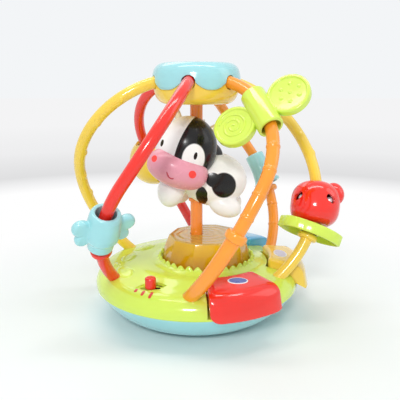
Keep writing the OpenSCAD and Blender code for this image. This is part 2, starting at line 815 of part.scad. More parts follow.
module cow_ears() {
    color(white) difference() {
        for (s = [-1, 1]) head_frame() translate([s * (head_r - 3), 9, 1]) rotate([0, s * 80, 0])
            egg(5.5, 8);
        head_frame() egg(head_r + 0.05, head_h + 0.05);
        body_frame() egg(body_r + 0.2, body_h + 0.2);
    }
}

// Hub

function hub_mid(i) = (rail_angles[i] + (i < 5 ? rail_angles[i + 1] : rail_angles[0] + 360)) / 2;

module rail_top_holes(extra) {
    for (a = rail_angles) rotate([0, 0, a])
        straight(rail_top + 6 * upper[3], -upper[3], rail_plug + 9, rail_r + extra);
}

module hub_screw_places() {
    for (i = [0, 2, 4]) rotate([0, 0, hub_mid(i)]) translate([hub_screw_r, 0, 0]) children();
}

module hub_cap() {
    round = 9;
    edge = hub_r - 1;
    // The edge rises in an arch over each rail
    arch_half = 11;
    arch_r = (arch_half * arch_half + scallop_rise * scallop_rise) / (2 * scallop_rise);
    color(sky) difference() {
        union() {
            rotate_extrude($fn = 120) polygon(concat(
                [[0, hub_top_z - hub_wall], [0, hub_top_z]],
                arc_points([edge - round, hub_top_z - round], round, 90, 10),
                [[hub_r, rail_top_z + 2], [hub_r, scallop_z], [hub_r - skirt, scallop_z],
                    [hub_r - skirt, rail_top_z + 2]],
                arc_points([edge - round, hub_top_z - round], round - hub_wall, 10, 90)));
            hub_screw_places() translate([0, 0, dish_z + hub_wall + 3])
                cylinder(r = 3.5, h = hub_top_z - dish_z - 2 * hub_wall - 3 + eps);
            // Stop over the post
            translate([0, 0, dish_z + 12.3])
                cylinder(r = post_r + 1, h = hub_top_z - hub_wall - dish_z - 12.3 + eps);
        }
        for (a = rail_angles) rotate([0, 0, a])
            translate([hub_r - skirt - 2, 0, scallop_z + scallop_rise - arch_r]) rotate([0, 90, 0])
                cylinder(r = arch_r, h = skirt + 4);
        rail_top_holes(1);
        hub_screw_places() translate([0, 0, dish_z]) cylinder(r = screw_r + screw_fit, h = 17);
    }
}

module hub_dish() {
    out = hub_r - skirt - hub_gap;
    rise = rail_top_z - 2.5 - dish_z;
    color(yellow) difference() {
        union() {
            difference() {
                rotate_extrude($fn = 120) polygon(concat([[0, dish_z]],
                    [for (t = [0:15:90]) [dish_flat_r + (out - dish_flat_r) * sin(t),
                        dish_z + rise * (1 - cos(t))]],
                    [[out, rail_top_z + 1.5], [0, rail_top_z + 1.5]]));
                translate([0, 0, eps]) rotate_extrude($fn = 120) polygon(concat([[0, dish_z + hub_wall]],
                    [for (t = [0:15:90]) [dish_flat_r + (out - hub_wall - dish_flat_r) * sin(t),
                        dish_z + hub_wall + (rise - hub_wall) * (1 - cos(t))]],
                    [[out - hub_wall, rail_top_z + 3], [0, rail_top_z + 3]]));
            }
            translate([0, 0, dish_z + eps]) cylinder(r = post_r + 3, h = 11);
            hub_screw_places() translate([0, 0, dish_z + eps]) cylinder(r = 4, h = hub_wall + 2.7);
        }
        rail_top_holes(socket_fit);
        translate([0, 0, dish_z - 1]) cylinder(r = post_r + 0.1, h = 30);
        hub_screw_places() translate([0, 0, dish_z - 1]) {
            cylinder(r = screw_head_r + 0.3, h = screw_head_h + 1.3);
            cylinder(r = screw_r + screw_fit, h = 12);
        }
    }
}

module hub_screws() {
    color(steel) hub_screw_places() translate([0, 0, dish_z + 0.2]) screw(15);
}

// Rails

// Straight sleeve round a rod, centred at a place along a bend
module band(b, at, l, r) {
    in_bend(b) rotate([0, 0, at]) translate([b[1], 0, 0]) rotate([90, 0, 0])
        cylinder(r = r, h = l, center = true);
}

// The rods end inside the bands that join them, and thinner spigots go into hub and base
module rail_body(rail, split, low_extra) {
    cut = bend_deg(lower, 0.5);
    rotate([0, 0, rail_angles[rail]]) {
        straight(rail_top + 2 * upper[3], -upper[3], rail_plug + 2, spigot_r);
        rod(upper, 0, upper[4] - cut, rail_r);
        band(lower, 0, 3, rail_r + 0.15);
        rod(lower, cut, split - cut, rail_r);
        band(lower, split, 3, rail_r + low_extra + 0.15);
        rod(lower, split + cut, foot_end, rail_r + low_extra);
        straight(bend_point(lower, foot_end - 1), bend_dir(lower, foot_end), spigot_l, spigot_r);
    }
}

module rail_collar(rail, at, r = collar_r, l = collar_l) {
    rotate([0, 0, rail_angles[rail]]) band(lower, at, l, r);
}

module rail_ring(rail, b, at, l = 2.4) {
    rotate([0, 0, rail_angles[rail]]) band(b, at, l, rail_r + ring_step);
}

module rail_bud(rail, b, at, turn) {
    on_rail(rail, b, at) rotate([0, 0, turn]) translate([rail_r - 0.6, 0, 0]) sphere(r = 2.2);
}

module rail_red_front() {
    color(red) {
        rail_body(0, red_front_collar, 0);
        rail_collar(0, red_front_collar);
    }
}

module rail_orange_front() {
    color(orange) {
        rail_body(1, orange_front_collar, low_step);
        rail_collar(1, orange_front_collar, front_collar_r, front_collar_l);
        for (a = [58, 72]) rail_ring(1, upper, a);
        for (a = [4, 14]) rail_ring(1, lower, a);
    }
}

module rail_yellow_right() {
    color(yellow) {
        rail_body(2, yellow_right_collar, 0);
        rail_collar(2, yellow_right_collar);
        for (a = [35, 60, 74]) rail_bud(2, upper, a, 70 + a * 3);
    }
}

module rail_orange_back() {
    color(orange) {
        rail_body(3, orange_back_collar, 0);
        rail_collar(3, orange_back_collar);
        for (a = [30, 45, 60]) rail_ring(3, upper, a);
        for (a = [32, 44]) rail_ring(3, lower, a);
    }
}

module rail_red_back() {
    color(red) {
        rail_body(4, red_back_collar, 0);
        rail_collar(4, red_back_collar);
    }
}

module rail_yellow_left() {
    color(yellow) {
        rail_body(5, 30, 0);
        for (a = [22, 44, 70]) rail_bud(5, upper, a, 20 + a * 2);
        for (a = [6, 19, 32]) rail_bud(5, lower, a, 150 + a * 4);
    }
}

// Beads. The bore sits half the bow of the rail nearer the middle of the bend.

function bow(b, half) = half * half / (4 * b[1]);

module butterfly_blue() {
    wing_t = 6;
    color(sky) on_rail(0, lower, blue_at) translate([-bow(lower, blue_h), 0, 0]) difference() {
        union() {
            rotate_extrude() polygon([[0, -blue_h], [9.3, -blue_h], [9.8, -blue_h + 7], [11.6, -blue_h + 10],
                [12.2, -blue_h + 15], [12, blue_h - 10], [11, blue_h - 3], [10, blue_h], [0, blue_h]]);
            rotate([0, 0, blue_turn]) rotate([90, 0, 0]) linear_extrude(wing_t, center = true)
                for (s = [-1, 1]) {
                    translate([s * 16.5, 5]) circle(6.5);
                    translate([s * 14.5, -5.5]) circle(5.5);
                }
        }
        cylinder(r = blue_bore, h = 4 * blue_h, center = true);
    }
}

module butterfly_lime() {
    wing_t = 6;
    rim = 2;
    // Drop that leaves the bead just off the bamboo rings as it slides
    lime_hang = lime_bore - rail_r - ring_step - rest_gap;
    color(lime) on_rail(1, upper, lime_at) translate([-lime_hang, 0, 0]) difference() {
        union() {
            cylinder(r = lime_tube_r, h = 2 * lime_h, center = true);
            rotate([0, 0, lime_turn]) rotate([90, 0, 0]) linear_extrude(wing_t, center = true)
                for (s = [-1, 1]) translate([s * lime_wing_x, 0]) circle(lime_wing_r);
        }
        cylinder(r = lime_bore, h = 4 * lime_h, center = true);
        // Sunk faces inside the wings' rims
        rotate([0, 0, lime_turn]) for (s = [-1, 1], f = [-1, 1])
            translate([s * lime_wing_x, f * (wing_t / 2 + 4.2), 0]) rotate([90, 0, 0])
                difference() {
                    cylinder(r = lime_wing_r - rim, h = 10, center = true);
                    translate([-s * lime_wing_x, 0, 0])
                        cube([2 * lime_tube_r + 1, 4 * lime_wing_r, 30], center = true);
                }
    }
}

module rattle_bead() {
    hub = rattle_bore + rattle_wall;
    slot_reach = 1.5;
    color(red) on_rail(2, lower, rattle_at) translate([-bow(lower, rattle_h), 0, 0])
        rotate([0, 0, rattle_turn]) difference() {
            union() {
                intersection() {
                    sphere(r = rattle_r, $fn = 96);
                    cube([4 * rattle_r, 4 * rattle_r, 2 * rattle_h], center = true);
                }
                translate([rattle_knob_at.x, 0, rattle_knob_at.y]) sphere(r = rattle_knob_r);
            }
            // Hollow for the shot, round the inner tube
            difference() {
                intersection() {
                    sphere(r = rattle_r - rattle_wall, $fn = 96);
                    cube([4 * rattle_r, 4 * rattle_r, 2 * (rattle_h - rattle_wall)], center = true);
                }
                cylinder(r = hub, h = 4 * rattle_h, center = true);
            }
            cylinder(r = rattle_bore, h = 4 * rattle_h, center = true);
            // Slanted slots that show the shot, too narrow to let it out
            for (s = [-1, 1]) rotate([0, 0, -90 + s * 47]) translate([0, 0, 3]) rotate([0, 90, 0])
                rotate([0, 0, 30]) linear_extrude(2 * rattle_r) {
                    for (v = [-1, 1]) translate([v * slot_reach, 0]) circle(shot_r - rest_gap);
                    square([2 * slot_reach, 2 * (shot_r - rest_gap)], center = true);
                }
        }
}

module rattle_shot() {
    in_r = rattle_r - rattle_wall - shot_r - rest_gap;
    color(steel) on_rail(2, lower, rattle_at) translate([-bow(lower, rattle_h), 0, 0])
        rotate([0, 0, rattle_turn]) for (a = [-137, -43, 40, 140])
            rotate([0, 0, a]) rotate([0, a < 0 ? -6 : 25, 0]) translate([in_r, 0, 0]) sphere(r = shot_r);
}

module leaf_spinner() {
    side = (leaf_l * leaf_l + leaf_w * leaf_w) / (2 * leaf_w);
    color(lime) on_rail(2, lower, leaf_at) rotate([0, 0, leaf_turn]) difference() {
        linear_extrude(leaf_t, center = true) {
            intersection() {
                translate([0, side - leaf_w]) circle(side, $fn = 120);
                translate([0, leaf_w - side]) circle(side, $fn = 120);
            }
            translate([-8, 0]) circle(leaf_w - 0.5);
        }
        cylinder(r = leaf_bore, h = 40, center = true);
    }
}

module bell_bead() {
    color(sky) on_rail(3, lower, bell_at) translate([-bow(lower, bell_h), 0, 0]) difference() {
        rotate_extrude() polygon(concat([[0, -bell_h], [bell_mouth_r, -bell_h], [bell_mouth_r, -bell_h + 3]],
            [for (t = [0:15:90]) [bell_top_r + (bell_mouth_r - bell_top_r) * (1 - sin(t)),
                -bell_h + 3 + (bell_h + 1) * sin(t) * t / 90]],
            [[bell_top_r, bell_h], [0, bell_h]]));
        cylinder(r = bell_bore, h = 4 * bell_h, center = true);
    }
}

module ball_spinner() {
    color(yellow) on_rail(4, lower, ball_at) translate([-bow(lower, ball_r), 0, 0]) difference() {
        sphere(r = ball_r, $fn = 96);
        sphere(r = ball_r - ball_wall, $fn = 96);
        cylinder(r = ball_bore, h = 3 * ball_r, center = true);
        for (i = [0:3]) rotate([0, 0, i * 90 + 45]) {
            rotate([0, 90 - 35, 0]) cylinder(r = ball_window_r, h = 2 * ball_r);
            rotate([0, 90 + 35, 45]) cylinder(r = ball_window_r, h = 2 * ball_r);
        }
    }
}

base_bowl();
base_top();
base_screws();
battery_door();
door_screw();
batteries();
battery_contacts();
circuit_board();
speaker();
dome_led();
slide_switch();
key_switches();
key_springs();
key_pins();
key_red();
key_yellow();
key_blue();
volume_knob();
light_dome();
centre_post();
cow_sleeve();
cow_body();
cow_head();
cow_muzzle();
cow_horns();
cow_ears();
hub_cap();
hub_dish();
hub_screws();
rail_red_front();
rail_orange_front();
rail_yellow_right();
rail_orange_back();
rail_red_back();
rail_yellow_left();
butterfly_blue();
butterfly_lime();
rattle_bead();
rattle_shot();
leaf_spinner();
bell_bead();
ball_spinner();
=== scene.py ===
"""Looks of the baby activity ball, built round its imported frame. Sizes are in millimetres."""
import math

import bmesh
import bpy
from mathutils import Matrix, Vector

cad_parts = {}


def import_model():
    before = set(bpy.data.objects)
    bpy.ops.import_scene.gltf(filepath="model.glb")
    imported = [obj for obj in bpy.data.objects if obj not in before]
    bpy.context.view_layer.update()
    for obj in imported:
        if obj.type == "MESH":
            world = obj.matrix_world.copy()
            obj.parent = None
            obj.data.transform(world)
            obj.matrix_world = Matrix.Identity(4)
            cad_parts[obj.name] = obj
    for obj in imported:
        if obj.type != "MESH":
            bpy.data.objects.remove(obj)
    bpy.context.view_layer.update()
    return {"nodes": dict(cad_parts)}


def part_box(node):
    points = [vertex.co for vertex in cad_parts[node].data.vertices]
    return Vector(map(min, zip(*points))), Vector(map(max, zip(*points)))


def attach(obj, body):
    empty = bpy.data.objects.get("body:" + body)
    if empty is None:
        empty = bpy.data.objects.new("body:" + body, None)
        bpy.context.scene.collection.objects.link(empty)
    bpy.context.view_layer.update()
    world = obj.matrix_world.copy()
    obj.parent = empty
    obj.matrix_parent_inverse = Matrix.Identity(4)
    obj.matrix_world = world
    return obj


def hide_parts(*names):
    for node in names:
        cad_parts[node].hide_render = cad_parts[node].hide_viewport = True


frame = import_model()
MM = 0.001

# Base
BASE_R, SEAM_Z = 83.5, 25.6
FOOT_R, BOWL_BELLY, BASE_WALL = 50.0, 4.6, 2.4
RIM_X, RIM_Z, RIM_ROUND, RIM_RISE = 83.9, 29.0, 15.0, 12.5
CROWN_Z, CROWN_R = 45.0, 52.0
BASE_SCREW_R, BASE_SCREW_ANGLES = 45.0, (-152, -92, -30, 30, 150)
WELL_FLOOR_Z = 27.6
# A radius and a height past the whole base, for cuts
PAST_R, PAST_Z = 120.0, 90.0
# Keys
KEY_ANGLES, KEY_HALF, WELL_HALF = (-65.5, 0.5, 57), 18.7, 19.35
KEY_IN_R, KEY_OUT_R, KEY_TOP_Z, KEY_SKIRT_Z, KEY_WALL = 60.0, 93.0, 50.5, 27.0, 2.2
KEY_BOTTOM_Z, KEY_LOW_ROUND, KEY_IN_ROUND, KEY_OUT_ROUND = 30.5, 2.5, 4.0, 9.0
# How far the outer face leans back, and how steeply the top falls outwards
KEY_LEAN, KEY_SLOPE = 4.0, 0.14
# Round at a key's sides, and the share of it that the inner, outer and upper edges follow
KEY_SIDE_ROUND, KEY_EASE = 7.0, (0.5, 0.25, 0.3)
# Share of it that the lower edge follows at a key's two ends
KEY_LOW_EASE = {"red": (1.25, 0.5), "yellow": (0.3, 1.0), "blue": (1.0, 1.0)}
# Dome and grass
DOME_X, DOME_FOOT_R, DOME_WAIST_R, DOME_TOP_R = 8.0, 37.0, 34.4, 30.6
DOME_H, DOME_WAIST_H, DOME_WALL, DOME_FACETS = 20.5, 11.0, 2.0, 10
DOME_SHARP, DOME_FOOT_SHARP, DOME_RINGS, DOME_RIPPLE = 0.88, 0.35, 4.5, 0.13
GRASS_IN_R, GRASS_W, GRASS_FLARE, GRASS_H, GRASS_N = 37.6, 2.4, 11.0, 4.8, 34
# Shares of the grass height: between teeth, shorter teeth, skirt
GRASS_LOW, GRASS_UNEVEN, GRASS_SKIRT = 0.26, 0.12, 0.32
# Rails
RAIL_R, RAIL_ANGLES = 4.6, (-100, -42, 24.5, 77, 139, 198)
RAIL_TOP_R, RAIL_TOP_Z = 35.0, 188.5
SHOULDER, WAIST, FOOT = (92.0, -15.4, 137.0), (96.0, -21.0, 122.4), (75.3, -50.0, 43.0)
COLLAR_R, COLLAR_L, REST_GAP = 8.0, 5.0, 0.3
FRONT_COLLAR_R, FRONT_COLLAR_L = 7.7, 6.5
LOW_STEP, RING_STEP, RING_L, BUD_H, BUD_W = 0.7, 0.35, 2.2, 0.9, 2.4
# Hub
HUB_R, HUB_TOP_Z, HUB_ROUND, HUB_WALL, HUB_SKIRT = 35.0, 204.0, 9.0, 2.0, 1.2
SCALLOP_Z, SCALLOP_RISE, SCALLOP_HALF = 183.6, 6.8, 17.5
DISH_Z, DISH_FLAT_R, DISH_R, DISH_TOP_Z = 172.5, 24.5, 33.6, 190.0
HUB_SCREW_R, HUB_SCREW_ANGLES = 16.0, (-71, 50.75, 168.5)
# Post and cow
POST_R, SLEEVE_HOLE_R, COW_LEDGE_Z = 5.0, 7.0, 97.0
HEAD_AT, HEAD_R, HEAD_H, HEAD_TILT = Vector((-8, -12, 138)), 24.0, 26.0, 20.0
MUZZLE_AT, MUZZLE_R, MUZZLE_H, MUZZLE_DEEP = Vector((-14.5, -23, 124)), 14.5, 24.0, 1.15
BODY_AT, BODY_R, BODY_H, BODY_TILT = Vector((14, 0, 112)), 22.0, 27.0, 95.0
# Beads
BLUE_H, BLUE_BORE, BLUE_TURN = 16.5, 7.3, 176.0
# Lobes of its wings: place outwards and up, radius
BLUE_LOBES = ((16.5, 5, 6.5), (14.5, -5.5, 5.5), (11.5, 0, 5.0))
LIME_H, LIME_BORE, LIME_TUBE_R, LIME_WING_R, LIME_WING_X, LIME_AT = 16.5, 7.2, 9.2, 15.5, 21.5, 32.0
LIME_HANG, WING_T = 1.8, 6.0
RATTLE_R, RATTLE_H, RATTLE_WALL, RATTLE_BORE, RATTLE_TURN = 19.5, 16.5, 2.0, 7.0, 6.5
RATTLE_FULL_H, RATTLE_SLOTS = 18.8, (-134, -53)
LEAF_T, LEAF_L, LEAF_W, LEAF_BORE, LEAF_TURN, LEAF_RIM = 5.0, 26.0, 16.0, 6.0, 10.0, 2.4
BELL_H, BELL_TOP_R, BELL_MOUTH_R, BELL_BORE = 15.5, 8.8, 12.5, 6.9
BALL_R, BALL_WALL, BALL_BORE, BALL_WINDOW_R = 24.0, 2.2, 7.4, 7.0
# Volume switch
SLOT_AT, SLOT_FLOOR_Z = (-34.0, -58.0), 40.65
KNOB_R, KNOB_H, KNOB_TRAVEL = 4.2, 8.5, 8.0
RECESS_GAP, RECESS_TIP, STEM_L, STEM_R = 1.0, 4.0, 2.0, 1.5
# Volume bars: place and length of each, half width and lean of all
BARS, BAR_HALF, BAR_LEAN = ((-44.5, -61.0, 3.0), (-39.0, -65.3, 4.2), (-33.0, -68.6, 5.4)), 1.15, -24.0


def spin_z(degrees):
    return Matrix.Rotation(math.radians(degrees), 4, "Z")


def turn(degrees, axis):
    return Matrix.Rotation(math.radians(degrees), 4, axis)


def move(x, y, z):
    return Matrix.Translation((x, y, z))


def polar(r, degrees, z):
    a = math.radians(degrees)
    return Vector((r * math.cos(a), r * math.sin(a), z))


# Bends of the rails

class Bend:
    """An arc in space: centre, radius, direction to its start, direction along it there, span."""

    def __init__(self, centre, radius, first, second, span):
        self.centre, self.radius, self.first, self.second, self.span = centre, radius, first, second, span

    def point(self, degrees):
        a = math.radians(degrees)
        return self.centre + self.radius * (math.cos(a) * self.first + math.sin(a) * self.second)

    def along(self, degrees):
        a = math.radians(degrees)
        return math.cos(a) * self.second - math.sin(a) * self.first

    def degrees(self, length):
        return math.degrees(length / self.radius)

    def frame(self):
        normal = self.first.cross(self.second)
        basis = Matrix((self.first, self.second, normal)).transposed().to_4x4()
        return Matrix.Translation(self.centre) @ basis


def bend_of_three(p, m, q):
    u, v = m - p, q - p
    w = u.cross(v)
    centre = p + ((u.dot(u)) * v - (v.dot(v)) * u).cross(w) / (2 * w.dot(w))
    first = (p - centre).normalized()
    second = w.normalized().cross(first)
    span = math.degrees(math.atan2((q - centre).dot(second), (q - centre).dot(first)))
    return Bend(centre, (p - centre).length, first, second, span)


def bend_along(p, t, q):
    d = q - p
    inward = t.cross(d).normalized().cross(t)
    radius = d.dot(d) / (2 * d.dot(inward))
    span = math.degrees(2 * math.atan2(d.dot(inward), d.dot(t)))
    return Bend(p + radius * inward, radius, -inward, t, span)


RAIL_TOP = polar(RAIL_TOP_R, 0, RAIL_TOP_Z)
UPPER = bend_of_three(RAIL_TOP, polar(*SHOULDER), polar(*WAIST))
LOWER = bend_along(polar(*WAIST), UPPER.along(UPPER.span), polar(*FOOT))
# Places of the collars along the lower bend, in degrees
COLLARS = {"red_front": 36.5, "orange_front": 22.6, "yellow_right": 37.2, "orange_back": 22.6,
           "red_back": 22.5}
FOOT_END = LOWER.span + LOWER.degrees(5)


def above(collar, half):
    """Place along the lower bend of a bead that rests on a collar."""
    inside = LOWER.radius / (LOWER.radius - COLLAR_R)
    return collar - (LOWER.degrees(COLLAR_L) / 2 + LOWER.degrees(half + REST_GAP)) * inside


BLUE_AT = above(COLLARS["red_front"], BLUE_H)
LEAF_AT = above(COLLARS["yellow_right"], LEAF_T / 2)
RATTLE_END_R = math.sqrt(RATTLE_R ** 2 - RATTLE_H ** 2)
RATTLE_OVER_LEAF = LOWER.degrees(LEAF_T / 2 + RATTLE_H + REST_GAP)
RATTLE_AT = LEAF_AT - RATTLE_OVER_LEAF * LOWER.radius / (LOWER.radius - RATTLE_END_R)
BELL_AT = above(COLLARS["orange_back"], BELL_H)
BALL_AT = above(COLLARS["red_back"], BALL_R)


def on_rail(rail, bend, degrees):
    """Frame at a place on a rail: Z runs up the rail, X points away from the middle of the bend."""
    return (spin_z(RAIL_ANGLES[rail]) @ bend.frame() @ spin_z(degrees)
            @ move(bend.radius, 0, 0) @ turn(90, "X"))


def bow(half):
    return half * half / (4 * LOWER.radius)


# Meshes

def solid(name, verts, faces, place=None):
    """A closed mesh object from points in millimetres."""
    mesh = bpy.data.meshes.new(name)
    points = [MM * ((place @ Vector(v)) if place else Vector(v)) for v in verts]
    mesh.from_pydata(points, [], faces)
    work = bmesh.new()
    work.from_mesh(mesh)
    bmesh.ops.remove_doubles(work, verts=work.verts, dist=2e-6)
    bmesh.ops.recalc_face_normals(work, faces=work.faces)
    work.to_mesh(mesh)
    work.free()
    obj = bpy.data.objects.new(name, mesh)
    bpy.context.scene.collection.objects.link(obj)
    return obj


def grid(rings, closed_rings=True, closed_path=False, caps=False):
    """Points and faces of a net of rings with equal counts."""
    n = len(rings[0])
    verts = [p for ring in rings for p in ring]
    faces = []
    last = len(rings) if closed_path else len(rings) - 1
    for i in range(last):
        a, b = i * n, ((i + 1) % len(rings)) * n
        for j in range(n if closed_rings else n - 1):
            k = (j + 1) % n
            faces.append((a + j, a + k, b + k, b + j))
    if caps:
        faces.append(tuple(range(n)))
        faces.append(tuple((len(rings) - 1) * n + j for j in range(n)))
    return verts, faces


def round_angles(n):
    """Angles of n even steps round a circle."""
    return [2 * math.pi * i / n for i in range(n)]


def lathe(name, profile, n=96, place=None):
    """Revolves a closed outline of (radius, height), the same all round or given by angle."""
    rings = []
    for a in round_angles(n):
        outline = profile(a) if callable(profile) else profile
        rings.append([(r * math.cos(a), r * math.sin(a), z) for r, z in outline])
    return solid(name, *grid(rings, closed_path=True), place)


def rod(name, r, z0, z1, n, place=None):
    """Straight round bar, for cutting holes."""
    return lathe(name, [(0, z0), (r, z0), (r, z1), (0, z1)], n, place)


def rounded(corners, steps=6):
    """Closed outline whose corners (x, y, radius) are rounded."""
    out = []
    for i, (x, y, radius) in enumerate(corners):
        p = Vector((x, y))
        before = Vector(corners[i - 1][:2]) - p
        after = Vector(corners[(i + 1) % len(corners)][:2]) - p
        if radius <= 0:
            out.append((x, y))
            continue
        half = before.angle(after) / 2
        reach = min(radius / math.tan(half), 0.49 * before.length, 0.49 * after.length)
        p0, p1 = p + before.normalized() * reach, p + after.normalized() * reach
        for k in range(steps + 1):
            t = k / steps
            q = p0 * (1 - t) ** 2 + p * (2 * t * (1 - t)) + p1 * t * t
            out.append((q.x, q.y))
    return out


def egg(name, r, h, place, n=64, m=40, full=1.0):
    """Solid of revolution with the section of half an ellipse, or of a fuller curve."""
    slopes = [math.pi * (k / m - 0.5) for k in range(m + 1)]
    outline = [(r * max(0.0, math.cos(t)) ** full, h * math.sin(t)) for t in slopes]
    rings = [[(x * math.cos(a), x * math.sin(a), z) for x, z in outline] for a in round_angles(n)]
    return solid(name, *grid(rings, closed_rings=False, closed_path=True), place)


def prism(name, outline, z0, z1, place=None):
    """Straight prism over a plan outline."""
    rings = [[(x, y, z) for x, y in outline] for z in (z0, z1)]
    return solid(name, *grid(rings, caps=True), place)


def sector(name, r0, r1, z0, z1, middle, half, n=24):
    """Wedge about the post axis."""
    angles = [middle - half + 2 * half * i / n for i in range(n + 1)]
    outer = [tuple(polar(r1, a, 0)[:2]) for a in angles]
    inner = [tuple(polar(r0, a, 0)[:2]) for a in reversed(angles)]
    return prism(name, outer + inner, z0, z1)


def stadium(length, r, n=12):
    """Plan outline of a slot along X."""
    out = []
    for side, start in ((1, -90), (-1, 90)):
        for k in range(n + 1):
            p = polar(r, start + 180 * k / n, 0)
            out.append((side * length / 2 + p.x, p.y))
    return out


def eye_outline(length, r, tip):
    """Plan outline of a slot along X whose ends draw out to points."""
    bows = [polar(r, a, 0) for a in (-90, -75, -60, 60, 75, 90)]
    half = [(length / 2 + p.x, p.y) for p in bows]
    half.insert(3, (tip, 0.0))
    return half + [(-x, -y) for x, y in half]


def settle(obj):
    """Turns an object's modifiers into its mesh."""
    graph = bpy.context.evaluated_depsgraph_get()
    mesh = bpy.data.meshes.new_from_object(obj.evaluated_get(graph))
    obj.modifiers.clear()
    obj.data = mesh
    return obj


def combine(obj, other, operation):
    """Boolean of two solids; the second is used up."""
    mod = obj.modifiers.new("combine", "BOOLEAN")
    mod.operation = operation
    mod.solver = "EXACT"
    mod.object = other
    settle(obj)
    bpy.data.objects.remove(other)
    return obj


def cut(obj, *tools):
    for tool in tools:
        combine(obj, tool, "DIFFERENCE")
    return obj


def fuse(obj, *others):
    for other in others:
        combine(obj, other, "UNION")
    return obj


def join(obj, *others):
    """Puts the meshes of several objects into the first one."""
    work = bmesh.new()
    for each in (obj, *others):
        work.from_mesh(each.data)
    work.to_mesh(obj.data)
    work.free()
    for other in others:
        bpy.data.objects.remove(other)
    return obj


def soften(obj, voxel, rounds):
    """Melts overlapping solids into one skin with soft edges."""
    mod = obj.modifiers.new("skin", "REMESH")
    mod.mode = "VOXEL"
    mod.voxel_size = voxel * MM
    mod = obj.modifiers.new("smooth", "SMOOTH")
    mod.factor = 0.5
    mod.iterations = rounds
    return settle(obj)


def ease_edges(obj, width, angle=35, segments=3):
    """Small rounds on sharp edges."""
    mod = obj.modifiers.new("edges", "BEVEL")
    mod.width = width * MM
    mod.segments = segments
    mod.limit_method = "ANGLE"
    mod.angle_limit = math.radians(angle)
    mod.harden_normals = False
    return settle(obj)


def dress(obj, material, body, slot, nodes=(), angle=38):
    """Gives a piece its material and body, and hides the CAD nodes that it stands for. The slot is not used.
    """
    obj.data.materials.clear()
    obj.data.materials.append(material)
    obj.data.shade_smooth()
    obj.data.set_sharp_from_angle(angle=math.radians(angle))
    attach(obj, body)
    if nodes:
        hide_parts(*nodes)
    return obj


# Materials

# Widths of the clouds in gloss and colour, span of their values, depth of moulded grain
GLOSS_CLOUD, COLOUR_CLOUD, CLOUD_SPAN, GRAIN_DEPTH = 9.0, 28.0, (0.3, 0.7), 0.2


def linear(rgb):
    """Shader colour of a colour given as it looks on screen, 0 to 255."""
    return tuple(((c / 255 + 0.055) / 1.055) ** 2.4 for c in rgb) + (1.0,)


class Paint:
    """A node material with one Principled shader, and short names for the nodes it needs."""

    def __init__(self, name):
        self.material = bpy.data.materials.new(name)
        self.material.use_nodes = True
        self.tree = self.material.node_tree
        self.shader = self.tree.nodes["Principled BSDF"]
        self.place = self.node("ShaderNodeTexCoord").outputs["Object"]

    def node(self, kind, **settings):
        made = self.tree.nodes.new(kind)
        for key, value in settings.items():
            setattr(made, key, value)
        return made

    def feed(self, socket, value):
        if isinstance(value, bpy.types.NodeSocket):
            self.tree.links.new(value, socket)
        else:
            socket.default_value = value

    def math(self, operation, *values, clamp=False):
        made = self.node("ShaderNodeMath", operation=operation, use_clamp=clamp)
        for socket, value in zip(made.inputs, values):
            self.feed(socket, value)
        return made.outputs[0]

    def dot(self, vector, direction):
        made = self.node("ShaderNodeVectorMath", operation="DOT_PRODUCT")
        self.feed(made.inputs[0], vector)
        self.feed(made.inputs[1], direction)
        return made.outputs["Value"]

    def shift(self, vector, offset):
        made = self.node("ShaderNodeVectorMath", operation="SUBTRACT")
        self.feed(made.inputs[0], vector)
        self.feed(made.inputs[1], offset)
        return made.outputs["Vector"]

    def noise(self, size, detail=2.0, vector=None):
        """Cloudy values; size is the width of a cloud in millimetres."""
        made = self.node("ShaderNodeTexNoise")
        self.feed(made.inputs["Vector"], vector or self.place)
        made.inputs["Scale"].default_value = 1 / (size * MM)
        made.inputs["Detail"].default_value = detail
        return made.outputs["Fac"]

    def remap(self, value, a, b, c, d, smooth=False):
        made = self.node("ShaderNodeMapRange")
        made.interpolation_type = "SMOOTHSTEP" if smooth else "LINEAR"
        self.feed(made.inputs["Value"], value)
        for name, number in (("From Min", a), ("From Max", b), ("To Min", c), ("To Max", d)):
            made.inputs[name].default_value = number
        return made.outputs["Result"]

    def blend(self, share, first, second):
        made = self.node("ShaderNodeMix", data_type="RGBA")
        self.feed(made.inputs["Factor"], share)
        self.feed(made.inputs[6], first)
        self.feed(made.inputs[7], second)
        return made.outputs[2]

    def surface(self, colour, rough, rough_spread, grain, grain_size):
        """Colour, uneven gloss and fine moulded grain."""
        self.feed(self.shader.inputs["Base Color"], colour)
        cloud = self.noise(GLOSS_CLOUD, 3)
        gloss = self.remap(cloud, *CLOUD_SPAN, rough - rough_spread, rough + rough_spread)
        self.feed(self.shader.inputs["Roughness"], gloss)
        bump = self.node("ShaderNodeBump")
        bump.inputs["Strength"].default_value = grain
        bump.inputs["Distance"].default_value = GRAIN_DEPTH * MM
        self.feed(bump.inputs["Height"], self.noise(grain_size, 2))
        self.feed(self.shader.inputs["Normal"], bump.outputs["Normal"])
        return self


def shade(rgb, share):
    return linear(tuple(min(255, max(0, c * share)) for c in rgb))


def mottled(paint, rgb, spread):
    """A colour that drifts a little, as moulded plastic does."""
    drift = paint.remap(paint.noise(COLOUR_CLOUD, 2), *CLOUD_SPAN, 0, 1)
    return paint.blend(drift, shade(rgb, 1 - spread), shade(rgb, 1 + spread))


def plastic(name, rgb, rough=0.16, spread=0.02, grain=0.03, grain_size=0.8, coat=0.5):
    paint = Paint(name)
    paint.surface(mottled(paint, rgb, spread), rough, 0.05, grain, grain_size)
    paint.shader.inputs["Coat Weight"].default_value = coat
    paint.shader.inputs["Coat Roughness"].default_value = 0.04
    return paint.material


def metal(name, rgb, rough=0.25, share=1.0):
    paint = Paint(name)
    paint.surface(mottled(paint, rgb, 0.06), rough, 0.08, 0.2, 0.4)
    paint.shader.inputs["Metallic"].default_value = share
    return paint.material


